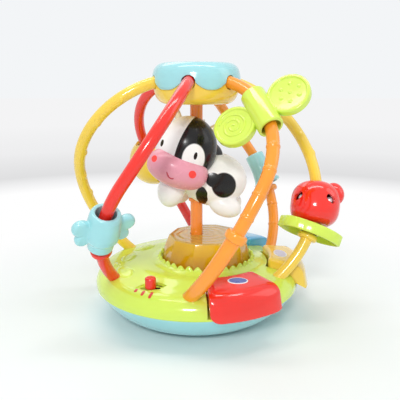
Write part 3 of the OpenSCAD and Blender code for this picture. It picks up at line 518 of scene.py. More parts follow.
def amber_plastic(name):
    """Clear amber plastic, gold that painted shade makes deeper towards its foot, and tan on its flat top."""
    paint = Paint(name)
    apart = paint.node("ShaderNodeSeparateXYZ")
    paint.feed(apart.inputs[0], paint.place)
    height = apart.outputs["Z"]
    top = MM * (CROWN_Z + DOME_H)
    # Painted shade: the side's gold darkens by height down to a shaded gold at the foot.
    tall = paint.remap(height, MM * (CROWN_Z + 3), top - 2 * MM, 0, 1)
    cloud = paint.remap(paint.noise(14, 3), *CLOUD_SPAN, -0.15, 0.15)
    side = paint.blend(paint.math("ADD", tall, cloud, clamp=True), linear(AMBER_SHADED_FOOT), linear(AMBER_CLEAR))
    flat = paint.remap(height, top - 1.4 * MM, top - 0.3 * MM, 0, 1, True)
    paint.surface(paint.blend(flat, side, mottled(paint, AMBER_TOP, 0.05)), 0.1, 0.03, 0.05, 0.8)
    paint.feed(paint.shader.inputs["Transmission Weight"], paint.remap(flat, 0, 1, 0.08, 0.4))
    paint.shader.inputs["IOR"].default_value = 1.4
    paint.shader.inputs["Coat Weight"].default_value = 0.5
    paint.shader.inputs["Coat Roughness"].default_value = 0.03
    return paint.material


# Colours as they look on screen
WHITE, BLACK, PINK, CHEEK_RED = (248, 247, 246), (14, 12, 12), (230, 157, 174), (250, 72, 66)
LIME, SKY, RED, ORANGE = (212, 237, 86), (158, 217, 223), (240, 36, 20), (252, 154, 36)
# The post's orange is the rails' orange made deeper and redder: painted shade.
YELLOW, KEY_BLUE, SHADED_POST_ORANGE = (248, 210, 72), (80, 176, 226), (255, 144, 36)
# The darker amber at the dome's foot is painted shade.
AMBER_SHADED_FOOT, AMBER_CLEAR, AMBER_TOP = (196, 138, 0), (236, 184, 8), (250, 204, 92)
BEIGE, INK_RED, INK_SMILE = (226, 212, 178), (214, 52, 40), (186, 44, 66)
LABEL_WHITE, LABEL_BLUE, LABEL_LILAC = (240, 240, 246), (78, 96, 176), (206, 198, 226)
STEEL, BRIGHT_STEEL, DARK = (190, 192, 196), (236, 238, 242), (48, 52, 58)
CELL_WRAP, BOARD_GREEN, LENS_WHITE = (60, 64, 70), (63, 127, 79), (243, 243, 232)
# Prints on the cow: middle across and up from the part's middle, half sizes, lean
EYE_PRINTS = (((-17.8, 3.0), (1.25, 2.7), 14), ((7.5, -7.3), (1.3, 2.8), 14))
EYE_WINDOW = ((5.8, -9.4), (8.4, 11.0), 12)
CHEEK_PRINTS = (((-16.9, 7.0), (2.2, 2.6), 10), ((11.6, -5.0), (2.8, 2.9), 0))
FLANK_SPOTS = (((7.5, -5.8), (9.7, 9.8), 0), ((-0.6, -1.9), (6.6, 5.6), 30))
LEG_SPOTS = (((-9.7, -13.9), (4.6, 6.6), -8),)
FAR_SPOTS = (((9, 0), (9, 8), 0), ((-9, 8), (6, 5), 0))
# Edge of the head's black patch: place across at mid height, its slope and its bend upwards
PATCH_START, PATCH_SLOPE, PATCH_BEND, PATCH_BACK = -5.97, 0.378, 0.0073, -13.0
# Directions across, up and out of the cow's face, for its printed patches
FACE_U = Vector((0.99998, -0.0068, 0.0))
FACE_V = Vector((0.0015, 0.22, 0.9755))
FACE_N = Vector((-0.0066, -0.9755, 0.22))


class FacePaint(Paint):
    """Paint with flat coordinates over a rounded toy, in millimetres from a middle point."""

    def __init__(self, name, middle):
        super().__init__(name)
        local = self.shift(self.place, MM * middle)
        self.u = self.math("MULTIPLY", self.dot(local, FACE_U), 1 / MM)
        self.v = self.math("MULTIPLY", self.dot(local, FACE_V), 1 / MM)
        self.n = self.math("MULTIPLY", self.dot(local, FACE_N), 1 / MM)

    def over(self, value, edge, soft=0.25):
        return self.remap(value, edge - soft, edge + soft, 0, 1, True)

    def oval(self, at, half, lean=0.0, soft=0.06, wobble=None):
        """Mask of an oval print; lean turns its long axis clockwise."""
        c, s = math.cos(math.radians(lean)), math.sin(math.radians(lean))
        du = self.math("SUBTRACT", self.u, at[0])
        dv = self.math("SUBTRACT", self.v, at[1])

        def axis(share_u, share_v):
            return self.math("ADD", self.math("MULTIPLY", du, share_u), self.math("MULTIPLY", dv, share_v))

        across, along = axis(c / half[0], -s / half[0]), axis(s / half[1], c / half[1])
        square = self.math("ADD", self.math("MULTIPLY", across, across), self.math("MULTIPLY", along, along))
        reach = self.math("SQRT", square)
        if wobble is not None:
            reach = self.math("ADD", reach, wobble)
        return self.remap(reach, 1 - soft, 1 + soft, 1, 0, True)

    def prints(self, spots, soft=0.06, wobble=None):
        return self.either(*[self.oval(*spot, soft, wobble) for spot in spots])

    def both(self, *masks):
        total = masks[0]
        for mask in masks[1:]:
            total = self.math("MULTIPLY", total, mask)
        return total

    def either(self, *masks):
        total = masks[0]
        for mask in masks[1:]:
            total = self.math("MAXIMUM", total, mask)
        return total

    def not_(self, mask):
        return self.math("SUBTRACT", 1.0, mask)


def toy_gloss(paint, colour):
    paint.surface(colour, 0.26, 0.04, 0.04, 0.8)
    paint.shader.inputs["Specular IOR Level"].default_value = 0.35
    paint.shader.inputs["Coat Weight"].default_value = 0.1
    paint.shader.inputs["Coat Roughness"].default_value = 0.06
    return paint.material


def black_and_white(paint, black):
    """White toy skin that is black under a mask."""
    return toy_gloss(paint, paint.blend(black, mottled(paint, WHITE, 0.015), mottled(paint, BLACK, 0.12)))


def head_paint():
    """White head with a black patch down one side and two printed eyes."""
    paint = FacePaint("cow_head_paint", HEAD_AT)
    front, side = paint.over(paint.n, 0), paint.over(paint.n, PATCH_BACK)
    bend = paint.math("MULTIPLY", paint.math("MULTIPLY", paint.v, paint.v), PATCH_BEND)
    edge = paint.math("ADD", paint.math("MULTIPLY_ADD", paint.v, PATCH_SLOPE, PATCH_START), bend)
    patch = paint.both(paint.over(paint.math("SUBTRACT", paint.u, edge), 0), side)
    window = paint.both(paint.oval(*EYE_WINDOW), front)
    eyes = paint.both(paint.prints(EYE_PRINTS), front)
    return black_and_white(paint, paint.either(paint.both(patch, paint.not_(window)), eyes))


def body_paint():
    """White body with black spots on both flanks."""
    paint = FacePaint("cow_body_paint", BODY_AT)
    wobble = paint.remap(paint.noise(9, 1), 0.2, 0.8, -0.16, 0.16)
    front = paint.over(paint.n, 2)
    near = paint.either(paint.prints(FLANK_SPOTS), paint.prints(LEG_SPOTS, 0.05, wobble))
    far = paint.prints(FAR_SPOTS, 0.05, wobble)
    return black_and_white(paint, paint.either(paint.both(near, front), paint.both(far, paint.not_(front))))


def muzzle_paint():
    """Pink muzzle with two round red cheek prints."""
    paint = FacePaint("cow_muzzle_paint", MUZZLE_AT)
    dots = paint.both(paint.prints(CHEEK_PRINTS), paint.over(paint.n, 0))
    return toy_gloss(paint, paint.blend(dots, mottled(paint, PINK, 0.02), linear(CHEEK_RED)))


# Base pieces

def crown(r):
    """Height of the base top over a radius."""
    if r <= CROWN_R:
        return CROWN_Z
    start = RIM_X - RIM_ROUND
    if r <= start:
        return CROWN_Z - (CROWN_Z - RIM_Z - RIM_RISE) * (r - CROWN_R) / (start - CROWN_R)
    return RIM_Z + RIM_RISE * math.sqrt(max(0.0, 1 - ((r - start) / RIM_ROUND) ** 2))


def soft_crown(r, reach=3.0, samples=6):
    """The same height with its kinks eased."""
    width = min(reach, max(0.0, (80 - r) / 3))
    if width == 0:
        return crown(r)
    return sum(crown(r + width * k / samples) for k in range(-samples, samples + 1)) / (2 * samples + 1)


def top_outline(inset):
    """Half section of the base top, from the axis round the rim to the seam."""
    out = [(0, SEAM_Z), (0, CROWN_Z - inset)]
    out += [(r, soft_crown(r) - inset) for r in (40 + 1.5 * k for k in range(24))]
    start = RIM_X - RIM_ROUND
    for k in range(16):
        t = math.radians(62 - 62 * k / 15)
        out.append((start + (RIM_ROUND - inset) * math.cos(t), RIM_Z + (RIM_RISE - inset) * math.sin(t)))
    return out + [(BASE_R + 0.2 - inset, SEAM_Z + 0.6), (BASE_R - 0.3 - inset, SEAM_Z)]


def base_top(material):
    top = lathe("base_top_shell", top_outline(0), 180)
    inner = lathe("room", [(r, z - 0.02) for r, z in top_outline(BASE_WALL)], 180)
    for a in KEY_ANGLES:
        cut(inner, sector("wall", KEY_IN_R - 3.6, PAST_R, 0, PAST_Z, a, WELL_HALF + 2.3))
    cut(top, inner)
    for a in KEY_ANGLES:
        cut(top, sector("well", KEY_IN_R - 1.2, PAST_R, WELL_FLOOR_Z, PAST_Z, a, WELL_HALF))
    at = move(*SLOT_AT, 0)
    eye = eye_outline(KNOB_TRAVEL, KNOB_R + RECESS_GAP, KNOB_TRAVEL / 2 + KNOB_R + RECESS_TIP)
    cut(top, prism("slot", eye, SLOT_FLOOR_Z, PAST_Z, at))
    slit = stadium(KNOB_TRAVEL + STEM_L + 1, STEM_R + 0.5)
    cut(top, prism("slit", slit, WELL_FLOOR_Z, PAST_Z, at))
    ease_edges(top, 0.5)
    return dress(top, material, "frame", "lime", ["base_top"])


def grass(material):
    """Saw-tooth collar of grass round the dome's foot."""
    r0, r1 = GRASS_IN_R, GRASS_IN_R + GRASS_W
    skirt_steps, tooth_steps = 8, 8

    def outline(a):
        place = a / (2 * math.pi) * GRASS_N
        tooth = int(place + 1e-6) % GRASS_N
        up = math.sin(math.pi * (place % 1)) ** 1.2
        tall = GRASS_H * (GRASS_LOW + (1 - GRASS_LOW - GRASS_UNEVEN * (tooth % 3 == 1)) * up)
        skirt = []
        for k in range(skirt_steps):
            t = k / skirt_steps
            r = r1 + GRASS_FLARE * (1 - t)
            ground = soft_crown(math.hypot(DOME_X + r * math.cos(a), r * math.sin(a))) - CROWN_Z
            skirt.append((r, ground - 0.3 + (GRASS_SKIRT * GRASS_H * t + 0.3) * t ** 1.4))
        blade = [(r1 + 0.1, min(tall - 0.5, (GRASS_SKIRT + 0.02) * GRASS_H)), (r1 - 0.4, tall - 0.4),
                 (r1 - 0.9, tall), (r0 + 0.5, tall - 0.2), (r0 + 0.1, tall - 0.8)]
        return [(r0, -1.0), (r1 + GRASS_FLARE, -4.0)] + skirt + blade

    ring = lathe("grass_collar", outline, GRASS_N * tooth_steps, move(DOME_X, 0, CROWN_Z))
    return dress(ring, material, "frame", "lime", angle=50)


def relief(name, material, at, aim, length, width, rise, dents=()):
    """Low leaf that swells out of the base top, with a furrow along its middle."""
    rows, columns = 22, 14
    rings = []
    c, s = math.cos(math.radians(aim)), math.sin(math.radians(aim))
    for i in range(rows + 1):
        t = i / rows
        half = width * math.sin(math.pi * t ** 0.85) ** 0.75 + 0.02
        ring = []
        for j in range(columns + 1):
            q = 2 * j / columns - 1
            x, y = (t - 0.5) * length, q * half
            px, py = at[0] + c * x - s * y, at[1] + s * x + c * y
            swell = (1 - q ** 4) * math.sin(math.pi * t) ** 0.5
            furrow = 0.28 * math.exp(-(y / 0.7) ** 2)
            height = rise * swell - furrow * swell - 0.25
            for du, dv, dr in dents:
                gap = math.hypot(x - du, y - dv)
                height -= 0.8 * math.exp(-(gap / dr) ** 2)
            ring.append((px, py, soft_crown(math.hypot(px, py)) + height))
        under = [(x, y, z - 0.9) for x, y, z in reversed(ring)]
        rings.append(ring + under)
    return dress(solid(name, *grid(rings, caps=True)), material, "frame", "lime", angle=60)


def base_reliefs(material):
    """Leaves and a flower bud in low relief on the quiet side of the base."""
    relief("relief_leaf_front", material, (-58, -28), 118, 26, 7.5, 2.0)
    relief("relief_leaf_mid", material, (-57, 4), 78, 24, 7.0, 1.8, ((4, 3, 1.2), (4, -3, 1.2)))
    relief("relief_leaf_back", material, (-46, 27), 35, 22, 7.0, 1.8,
           ((5, 0, 1.3), (-1, 3, 1.2), (-1, -3, 1.2)))
    relief("relief_leaf_left", material, (-66, -12), 100, 16, 4.0, 1.2)


def bowl_outline():
    """Half section of the bowl's shell."""
    a, b = Vector((FOOT_R, 0)), Vector((BASE_R - 0.6, SEAM_Z))
    out_dir = Vector((b.y - a.y, a.x - b.x)).normalized()
    outer = []
    for k in range(33):
        t = k / 32
        p = a + (b - a) * t + out_dir * (4 * BOWL_BELLY * t * (1 - t))
        outer.append((p.x, p.y))
    inner = [(r - BASE_WALL * 0.9, z + BASE_WALL * 0.6) for r, z in reversed(outer[1:])]
    return [(0, 0)] + outer[:-1] + [(BASE_R - 0.9, SEAM_Z - 0.3), (BASE_R - 1.3, SEAM_Z)] + \
        [(inner[0][0], SEAM_Z)] + inner[1:] + [(FOOT_R - 1, BASE_WALL), (0, BASE_WALL)]


def base_bowl(material):
    bowl = lathe("base_bowl_shell", bowl_outline(), 180)
    door_lo, door_hi = (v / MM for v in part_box("battery_door"))
    gap = 0.3
    plan = [(door_lo.x - gap, door_lo.y - gap), (door_hi.x + gap, door_lo.y - gap),
            (door_hi.x + gap, door_hi.y + gap), (door_lo.x - gap, door_hi.y + gap)]
    cut(bowl, prism("rebate", plan, -2, door_hi.z + gap))
    for a in BASE_SCREW_ANGLES:
        place = Matrix.Translation(polar(BASE_SCREW_R, a, 0))
        cut(bowl, rod("screw_hole", 3.4, -1, 5, 32, place))
    low, high = (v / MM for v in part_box("speaker"))
    middle = (low + high) / 2
    spots = [(0, 0)] + [tuple(polar(7, 60 * k, 0)[:2]) for k in range(6)]
    for x, y in spots:
        place = move(middle.x + x, middle.y + y, 0)
        cut(bowl, rod("sound_hole", 1.5, -1, 4, 20, place))
    ease_edges(bowl, 0.4)
    return dress(bowl, material, "frame", "sky", ["base_bowl"])


def key_top(r):
    """Height of a key's top over a radius."""
    return KEY_TOP_Z - KEY_SLOPE * (r - KEY_IN_R)


def key_section(inset, drawn, lift, feet):
    """Section of a key with round corners, drawn in towards its middle near the key's sides."""
    at_in, at_out, at_top = (drawn * share for share in KEY_EASE)
    r0, r1 = KEY_IN_R + inset + at_in, KEY_OUT_R - inset - at_out
    z1 = KEY_TOP_Z - inset - at_top
    points = []
    for r, z, size, start in ((r0, feet[0] + lift, KEY_LOW_ROUND, 270), (r0, z1, KEY_IN_ROUND, 180),
                              (r1, z1, KEY_OUT_ROUND, 90), (r1, feet[1] + lift, KEY_LOW_ROUND, 0)):
        size = max(0.05, size - inset - 0.5 * drawn)
        middle = Vector((r + size if r == r0 else r - size, z - size if z == z1 else z + size, 0))
        points += [middle + polar(size, start - 9 * k, 0) for k in range(11)]
    points.append(Vector((BASE_R + 1.5, feet[0] + lift, 0)))
    out = []
    for p in points:
        tall = (p.y - KEY_SKIRT_Z) / (KEY_TOP_Z - KEY_SKIRT_Z)
        r = p.x - KEY_LEAN * tall * (p.x - KEY_IN_R) / (KEY_OUT_R - KEY_IN_R)
        out.append((r, p.y + tall * (key_top(r) - KEY_TOP_Z)))
    return out


def key_solid(name, angle, inset, feet, low_ease):
    mean_r = (KEY_IN_R + KEY_OUT_R) / 2
    half = math.radians(KEY_HALF) * mean_r - inset
    size = KEY_SIDE_ROUND - inset
    edge = [size * (1 - math.cos(math.radians(90 * k / 10))) for k in range(11)]
    depth = edge + [size + (half - size) * k / 8 for k in range(1, 9)]
    columns = [(-half + d, d) for d in depth] + [(half - d, d) for d in reversed(depth[:-1])]
    rings = []
    for across, d in columns:
        a = math.radians(angle) + across / mean_r
        drawn = size - math.sqrt(size ** 2 - (size - min(d, size)) ** 2)
        section = key_section(inset, drawn, drawn * low_ease[across > 0], feet)
        rings.append([(r * math.cos(a), r * math.sin(a), z) for r, z in section])
    return solid(name, *grid(rings, caps=True))


def key(colour_name, angle, material):
    name = "key_" + colour_name
    feet = (KEY_BOTTOM_Z, KEY_SKIRT_Z)
    body = key_solid("key_cap_" + colour_name, angle, 0, feet, KEY_LOW_EASE[colour_name])
    below = KEY_SKIRT_Z - 15
    cut(body, key_solid("hollow", angle, KEY_WALL, (below, below - 0.1), (0, 0)))
    return dress(body, material, name, colour_name, [name], angle=32)


def oval_label(name, body, slot, at, aim, half, material, lift):
    """Thin oval label that lies on a key's top."""
    thick, under = lift + 0.25, lift - 0.2
    place = move(at[0], at[1], 0) @ spin_z(aim)
    rings = []
    for share, up in ((0.0, thick), (0.5, thick), (0.9, thick), (0.98, lift + 0.2), (1.0, lift), (0.5, under),
                      (0.0, under)):
        ring = []
        for a in round_angles(48):
            p = place @ Vector((share * half[0] * math.cos(a), share * half[1] * math.sin(a), 0))
            ring.append((p.x, p.y, key_top(math.hypot(p.x, p.y)) + up))
        rings.append(ring)
    return dress(solid(name, *grid(rings)), material, body, slot)


def key_labels(rim, blue, lilac):
    """Plain oval labels, left without pictures."""
    for name, body, at, aim, half, inner in (
            ("red", "key_red", (29.8, -64.5), 10, (7.6, 4.6), blue),
            ("yellow", "key_yellow", (70.0, -3.0), 85, (9.0, 5.6), lilac)):
        oval_label("label_rim_" + name, body, "white", at, aim, half, rim, 0.0)
        oval_label("label_" + name, body, "blue", at, aim, (half[0] - 0.8, half[1] - 0.8), inner, 0.1)


def volume_knob(material):
    knob = lathe("volume_knob_cap", rounded([
        (0, 0.4, 0), (KNOB_R, 0.4, 0.6), (KNOB_R - 0.1, KNOB_H - 1, 0.5), (KNOB_R - 0.7, KNOB_H + 0.2, 1.2),
        (0, KNOB_H + 0.35, 0)]), 64, move(*SLOT_AT, SLOT_FLOOR_Z))
    stem = prism("stem", stadium(STEM_L, STEM_R), SLOT_FLOOR_Z - 3.5, SLOT_FLOOR_Z + 0.6, move(*SLOT_AT, 0))
    return dress(join(knob, stem), material, "volume", "red", ["volume_knob"])


def volume_marks(material):
    """Three plain bars that grow along the slot and lie on the base top."""
    rows, lean = 8, spin_z(BAR_LEAN)
    section = ((-1, 0.12), (-0.5, 0.2), (0.5, 0.2), (1, 0.12), (1, -0.3), (-1, -0.3))
    for i, (x, y, tall) in enumerate(BARS):
        rings = []
        for k in range(rows + 1):
            wide = BAR_HALF * (0.6 if k in (0, rows) else 1)
            ring = []
            for across, up in section:
                q = lean @ Vector((across * wide, tall * (k / rows - 0.5), 0)) + Vector((x, y, 0))
                ring.append((q.x, q.y, soft_crown(math.hypot(q.x, q.y)) + up))
            rings.append(ring)
        dress(solid("volume_mark_%d" % (i + 1), *grid(rings, caps=True)), material, "frame", "red")


# Dome and post

def facet(a, z):
    """Radius share of a softened polygon at an angle, rounder towards the foot."""
    step = 2 * math.pi / DOME_FACETS
    place = (a + step / 2) % step - step / 2
    place = abs(step / 2 - abs(place))
    sharp = math.cos(step / 2) / math.cos(place)
    flat = DOME_SHARP * (DOME_FOOT_SHARP + (1 - DOME_FOOT_SHARP) * min(1, z / DOME_WAIST_H))
    return 1 - flat * (1 - sharp)


def light_dome(material):
    """Tree-stump dome: soft facets, a rounded brow and wavy growth rings on its top."""
    top_steps, crest = 40, 0.3
    side = rounded([(0, 0, 0), (DOME_FOOT_R, 0, 0), (DOME_WAIST_R, DOME_WAIST_H, 6),
                    (DOME_TOP_R, DOME_H, 1.6), (0, DOME_H + crest, 0)], 8)[1:-1]
    brow = side[-1][0]
    inner = [(0, DOME_H - DOME_WALL), (DOME_TOP_R - 3, DOME_H - DOME_WALL),
             (DOME_WAIST_R - DOME_WALL, DOME_WAIST_H - 1), (DOME_FOOT_R - DOME_WALL, 0)]

    def outline(a):
        f = facet(a, DOME_H)
        out = [(facet(a, z) * r, z) for r, z in side]
        for k in range(1, top_steps + 1):
            share = 1 - k / top_steps
            wave = share * DOME_RINGS + 0.13 * math.sin(3 * a + 1) + 0.08 * math.sin(5 * a)
            fade = min(1, 6 * (1 - share)) * min(1, 4 * share)
            ripple = DOME_RIPPLE * math.sin(2 * math.pi * wave) * fade
            out.append((f * brow * share, DOME_H + crest * (1 - share) + ripple))
        return out + [(f * r, z) for r, z in inner]

    dome = lathe("light_dome_shell", outline, 240, move(DOME_X, 0, CROWN_Z))
    cut(dome, rod("bore", POST_R + 0.4, 30, PAST_Z, 48))
    return dress(dome, material, "frame", "amber", ["light_dome"], angle=45)


def centre_post(material):
    top = DISH_Z + 12
    post = lathe("centre_post_tube", rounded([
        (3.5, CROWN_Z - 10.5, 0), (POST_R, CROWN_Z - 10.5, 0), (POST_R, COW_LEDGE_Z - 3, 0.3),
        (6.5, COW_LEDGE_Z - 3, 0.4), (6.5, COW_LEDGE_Z, 0.4), (POST_R, COW_LEDGE_Z, 0.3),
        (POST_R, top, 0.6), (3.5, top, 0.6)]), 64)
    return dress(post, material, "frame", "orange", ["centre_post"])


# Hub

def rail_gap(a, radius):
    """Distance along the hub's edge to the nearest rail."""
    best = 1e9
    for rail in RAIL_ANGLES:
        d = (math.degrees(a) - rail + 180) % 360 - 180
        best = min(best, abs(math.radians(d)) * radius)
    return best


def hub_cap(material):
    """Smooth cap whose lower edge rises in a wave over each rail."""
    hole, lip = RAIL_R + 0.9, 0.35
    middle, shoulder_z, low_z = HUB_R - 1 - HUB_ROUND, HUB_TOP_Z - HUB_ROUND + 1.5, HUB_TOP_Z - HUB_ROUND

    def edge(a):
        t = rail_gap(a, HUB_R)
        swing = 0.5 * (1 + math.cos(math.pi * min(1, t / SCALLOP_HALF)))
        wave = SCALLOP_Z + SCALLOP_RISE * swing ** 1.4
        if t < hole:
            wave = max(wave, RAIL_TOP_Z + math.sqrt(hole * hole - t * t))
        return wave

    def brow(first, last, steps, r, tall, z):
        angles = [math.radians(first + (last - first) * k / steps) for k in range(steps + 1)]
        return [(middle + r * math.cos(t), z + tall * math.sin(t)) for t in angles]

    def outline(a):
        low = edge(a)
        out = [(0, HUB_TOP_Z), (10, HUB_TOP_Z - 0.05), (18, HUB_TOP_Z - 0.25)]
        out += brow(88, 10, 10, HUB_ROUND, HUB_ROUND + 0.1, low_z - 0.3)
        r0, first = out[-1][0], shoulder_z - 0.4

        def side(z, back):
            return (r0 + (HUB_R - r0) * min(1, (shoulder_z - z) / 6.0) - back, z)

        steps = [first + (low + lip - first) * k / 6 for k in range(7)]
        out += [side(z, 0) for z in steps] + [side(low, lip), side(low, HUB_SKIRT - lip)]
        out += [side(z, HUB_SKIRT) for z in reversed(steps)]
        inner = HUB_ROUND - HUB_WALL
        return out + brow(10, 88, 5, inner, inner, low_z) + [(0, HUB_TOP_Z - HUB_WALL)]

    return dress(lathe("hub_cap_shell", outline, 720), material, "frame", "sky", ["hub_cap"], angle=50)


def hub_dish(material):
    """Shallow dish under the cap, notched for the rails."""
    hole = RAIL_R + 0.35
    rise, wide = RAIL_TOP_Z - 2.5 - DISH_Z, DISH_R - DISH_FLAT_R

    def outline(a):
        t = rail_gap(a, DISH_R)
        top = DISH_TOP_Z if t >= hole else RAIL_TOP_Z - math.sqrt(hole * hole - t * t)
        out = [(POST_R + 0.3, DISH_Z), (DISH_FLAT_R - 2, DISH_Z)]
        for k in range(13):
            u = math.radians(90 * k / 12)
            z = DISH_Z + rise * (1 - math.cos(u))
            out.append((DISH_FLAT_R + wide * math.sin(u), min(z, top - 0.1)))
        out += [(DISH_R, top), (DISH_R - HUB_WALL, top)]
        out += [(DISH_R - HUB_WALL, min(RAIL_TOP_Z - 4, top - 0.1)), (DISH_FLAT_R, DISH_Z + HUB_WALL)]
        return out + [(POST_R + 0.3, DISH_Z + HUB_WALL)]

    dish = lathe("hub_dish_shell", outline, 720)
    for a in HUB_SCREW_ANGLES:
        place = Matrix.Translation(polar(HUB_SCREW_R, a, 0))
        cut(dish, rod("screw_hole", 3.3, DISH_Z - 1, DISH_Z + 4, 32, place))
    return dress(dish, material, "frame", "yellow", ["hub_dish"], angle=50)


# Rails

def rail_line(rail):
    """Points along a rail with the length and the place on its bends at each."""
    spin = spin_z(RAIL_ANGLES[rail])
    upper_l = math.radians(UPPER.span) * UPPER.radius
    lower_l = math.radians(FOOT_END) * LOWER.radius
    inside = 9.5

    def at(s):
        if s < 0:
            return spin @ (RAIL_TOP + s * UPPER.second)
        if s < upper_l:
            return spin @ UPPER.point(math.degrees(s / UPPER.radius))
        if s < upper_l + lower_l:
            return spin @ LOWER.point(math.degrees((s - upper_l) / LOWER.radius))
        return spin @ (LOWER.point(FOOT_END) + (s - upper_l - lower_l) * LOWER.along(FOOT_END))

    return at, upper_l, -inside, upper_l + lower_l + 2


def rail(name, index, material, slot, node, bumps=(), buds=(), low_step=0.0):
    """Bent rod. Bumps are (bend, place, length, radius, squareness); buds are (bend, place, turn)."""
    at, upper_l, s0, s1 = rail_line(index)

    def length_to(bend, place):
        return math.radians(place) * bend.radius + (0 if bend is UPPER else upper_l)

    marks = [(length_to(b, p), l / 2, r - RAIL_R, power) for b, p, l, r, power in bumps]
    spots = []
    for b, p, aim in buds:
        spots.append(on_rail(index, b, p) @ spin_z(aim) @ Vector((RAIL_R, 0, 0)))
    places = {round(s0 + (s1 - s0) * k / 150, 3) for k in range(151)}
    for middle, half, _, _ in marks:
        places |= {round(middle + half * 1.04 * q / 14, 3) for q in range(-14, 15)}
    for b, p, _ in buds:
        middle = length_to(b, p)
        places |= {round(middle + 0.5 * q, 3) for q in range(-8, 9)}
    places = sorted(places)
    step_at = [m[0] for m in marks if m[2] > 2 * LOW_STEP]
    normal = (spin_z(RAIL_ANGLES[index]) @ Vector((0, 0, 1)))
    rings = []
    for s in places:
        p = at(s)
        along = (at(s + 0.05) - at(s - 0.05)).normalized()
        normal = (normal - along * normal.dot(along)).normalized()
        side = along.cross(normal)
        radius = RAIL_R
        if low_step and step_at and s > step_at[0]:
            radius += low_step
        for middle, half, extra, power in marks:
            x = abs(s - middle) / half
            if x < 1:
                radius = max(radius, RAIL_R + extra * (1 - x ** power) ** (1 / power))
        ring = []
        for a in round_angles(36):
            out = math.cos(a) * normal + math.sin(a) * side
            q = p + radius * out
            for spot in spots:
                gap = (q - spot).length
                if gap < 3 * BUD_W:
                    q = q + out * (BUD_H * math.exp(-(gap / BUD_W) ** 2))
            ring.append(q)
        rings.append(ring)
    return dress(solid(name, *grid(rings, caps=True)), material, "frame", slot, [node], angle=50)


def collar(name, radius=COLLAR_R, length=COLLAR_L):
    return (LOWER, COLLARS[name], length, radius, 3)


def knot(bend, place):
    return (bend, place, RING_L, RAIL_R + RING_STEP, 2)


def rails(red, orange, yellow):
    rail("rail_rod_red_front", 0, red, "red", "rail_red_front", [collar("red_front")])
    rail("rail_rod_orange_front", 1, orange, "orange", "rail_orange_front",
         [collar("orange_front", FRONT_COLLAR_R, FRONT_COLLAR_L)] + [knot(UPPER, a) for a in (58, 72)]
         + [knot(LOWER, a) for a in (4, 14)], low_step=LOW_STEP)
    rail("rail_rod_yellow_right", 2, yellow, "yellow", "rail_yellow_right", [collar("yellow_right")],
         [(UPPER, a, 70 + a * 3) for a in (35, 60, 74)])
    rail("rail_rod_orange_back", 3, orange, "orange", "rail_orange_back",
         [collar("orange_back")] + [knot(UPPER, a) for a in (30, 45, 60)]
         + [knot(LOWER, a) for a in (32, 44)])
    rail("rail_rod_red_back", 4, red, "red", "rail_red_back", [collar("red_back")])
    rail("rail_rod_yellow_left", 5, yellow, "yellow", "rail_yellow_left", [],
         [(UPPER, a, 20 + a * 2) for a in (22, 44, 70)] + [(LOWER, a, 150 + a * 4) for a in (6, 19, 32)])


# Cow

# Line of the smile, from the muzzle's middle
SMILE = ((-7.5, -13.7, 0.5), (-6.7, -13.5, -2.4), (-5.8, -13.2, -3.9), (-4.1, -13.2, -4.8),
         (-2.4, -13.5, -4.6))
HEAD_FRAME = Matrix.Translation(HEAD_AT) @ turn(HEAD_TILT, "Y")
MUZZLE_FRAME = Matrix.Translation(MUZZLE_AT) @ turn(90 + HEAD_TILT, "Y")
BODY_FRAME = Matrix.Translation(BODY_AT) @ turn(BODY_TILT, "Y")
# Legs: place from the body's middle, lean, radius and half length
LEGS = (((-34, -13, -6.5), 12, 11, 14), ((-27, 12, -9), 8, 10, 14),
        ((9, -11, -20), -70, 9, 13.5), ((11, 11, -19), -70, 9, 13.5))


def sleeve_bore():
    return rod("bore", SLEEVE_HOLE_R, 60, 180, 64)


def cow_body(material):
    """Body and legs melted into one rounded skin, hollowed for the post."""
    body = egg("cow_body_skin", BODY_R, BODY_H, BODY_FRAME, 72, 44)
    legs = []
    for at, lean, r, h in LEGS:
        legs.append(egg("leg", r, h, Matrix.Translation(BODY_AT + Vector(at)) @ turn(lean, "Y")))
    soften(join(body, *legs), 0.9, 10)
    cut(body, sleeve_bore())
    return dress(body, material, "cow", "white", ["cow_body"], angle=60)


def cow_head(material):
    head = egg("cow_head_skin", HEAD_R, HEAD_H, HEAD_FRAME, 96, 64)
    cut(head, sleeve_bore())
    return dress(head, material, "cow", "white", ["cow_head"], angle=60)


def cow_muzzle(material):
    place = MUZZLE_FRAME @ Matrix.Diagonal((1, MUZZLE_DEEP, 1, 1))
    muzzle = egg("cow_muzzle_skin", MUZZLE_R, MUZZLE_H, place, 96, 64, 0.82)
    return dress(muzzle, material, "cow", "pink", ["cow_muzzle"], angle=60)


def strand(name, points, radius, n=10):
    """Thin rounded line through points."""
    smooth = []
    count = len(points)
    for i in range(count - 1):
        p0, p1, p2, p3 = (Vector(points[min(count - 1, max(0, i + d))]) for d in (-1, 0, 1, 2))
        for k in range(6):
            t = k / 6
            smooth.append(0.5 * (2 * p1 + (p2 - p0) * t + (2 * p0 - 5 * p1 + 4 * p2 - p3) * t * t
                                 + (3 * p1 - p0 - 3 * p2 + p3) * t ** 3))
    smooth.append(Vector(points[-1]))
    normal = Vector((0.1, -1, 0.2))
    rings = []
    for i, p in enumerate(smooth):
        along = (smooth[min(i + 1, len(smooth) - 1)] - smooth[max(i - 1, 0)]).normalized()
        normal = (normal - along * normal.dot(along)).normalized()
        side = along.cross(normal)
        end = min(i, len(smooth) - 1 - i)
        r = radius * min(1, 0.35 + 0.3 * end)
        rings.append([p + r * (math.cos(a) * normal + math.sin(a) * side) for a in round_angles(n)])
    return solid(name, *grid(rings, caps=True))


def cow_smile(material):
    points = [MUZZLE_AT + Vector((x, MUZZLE_DEEP * y, z)) for x, y, z in SMILE]
    return dress(strand("cow_smile_line", points, 0.55), material, "cow", "red")


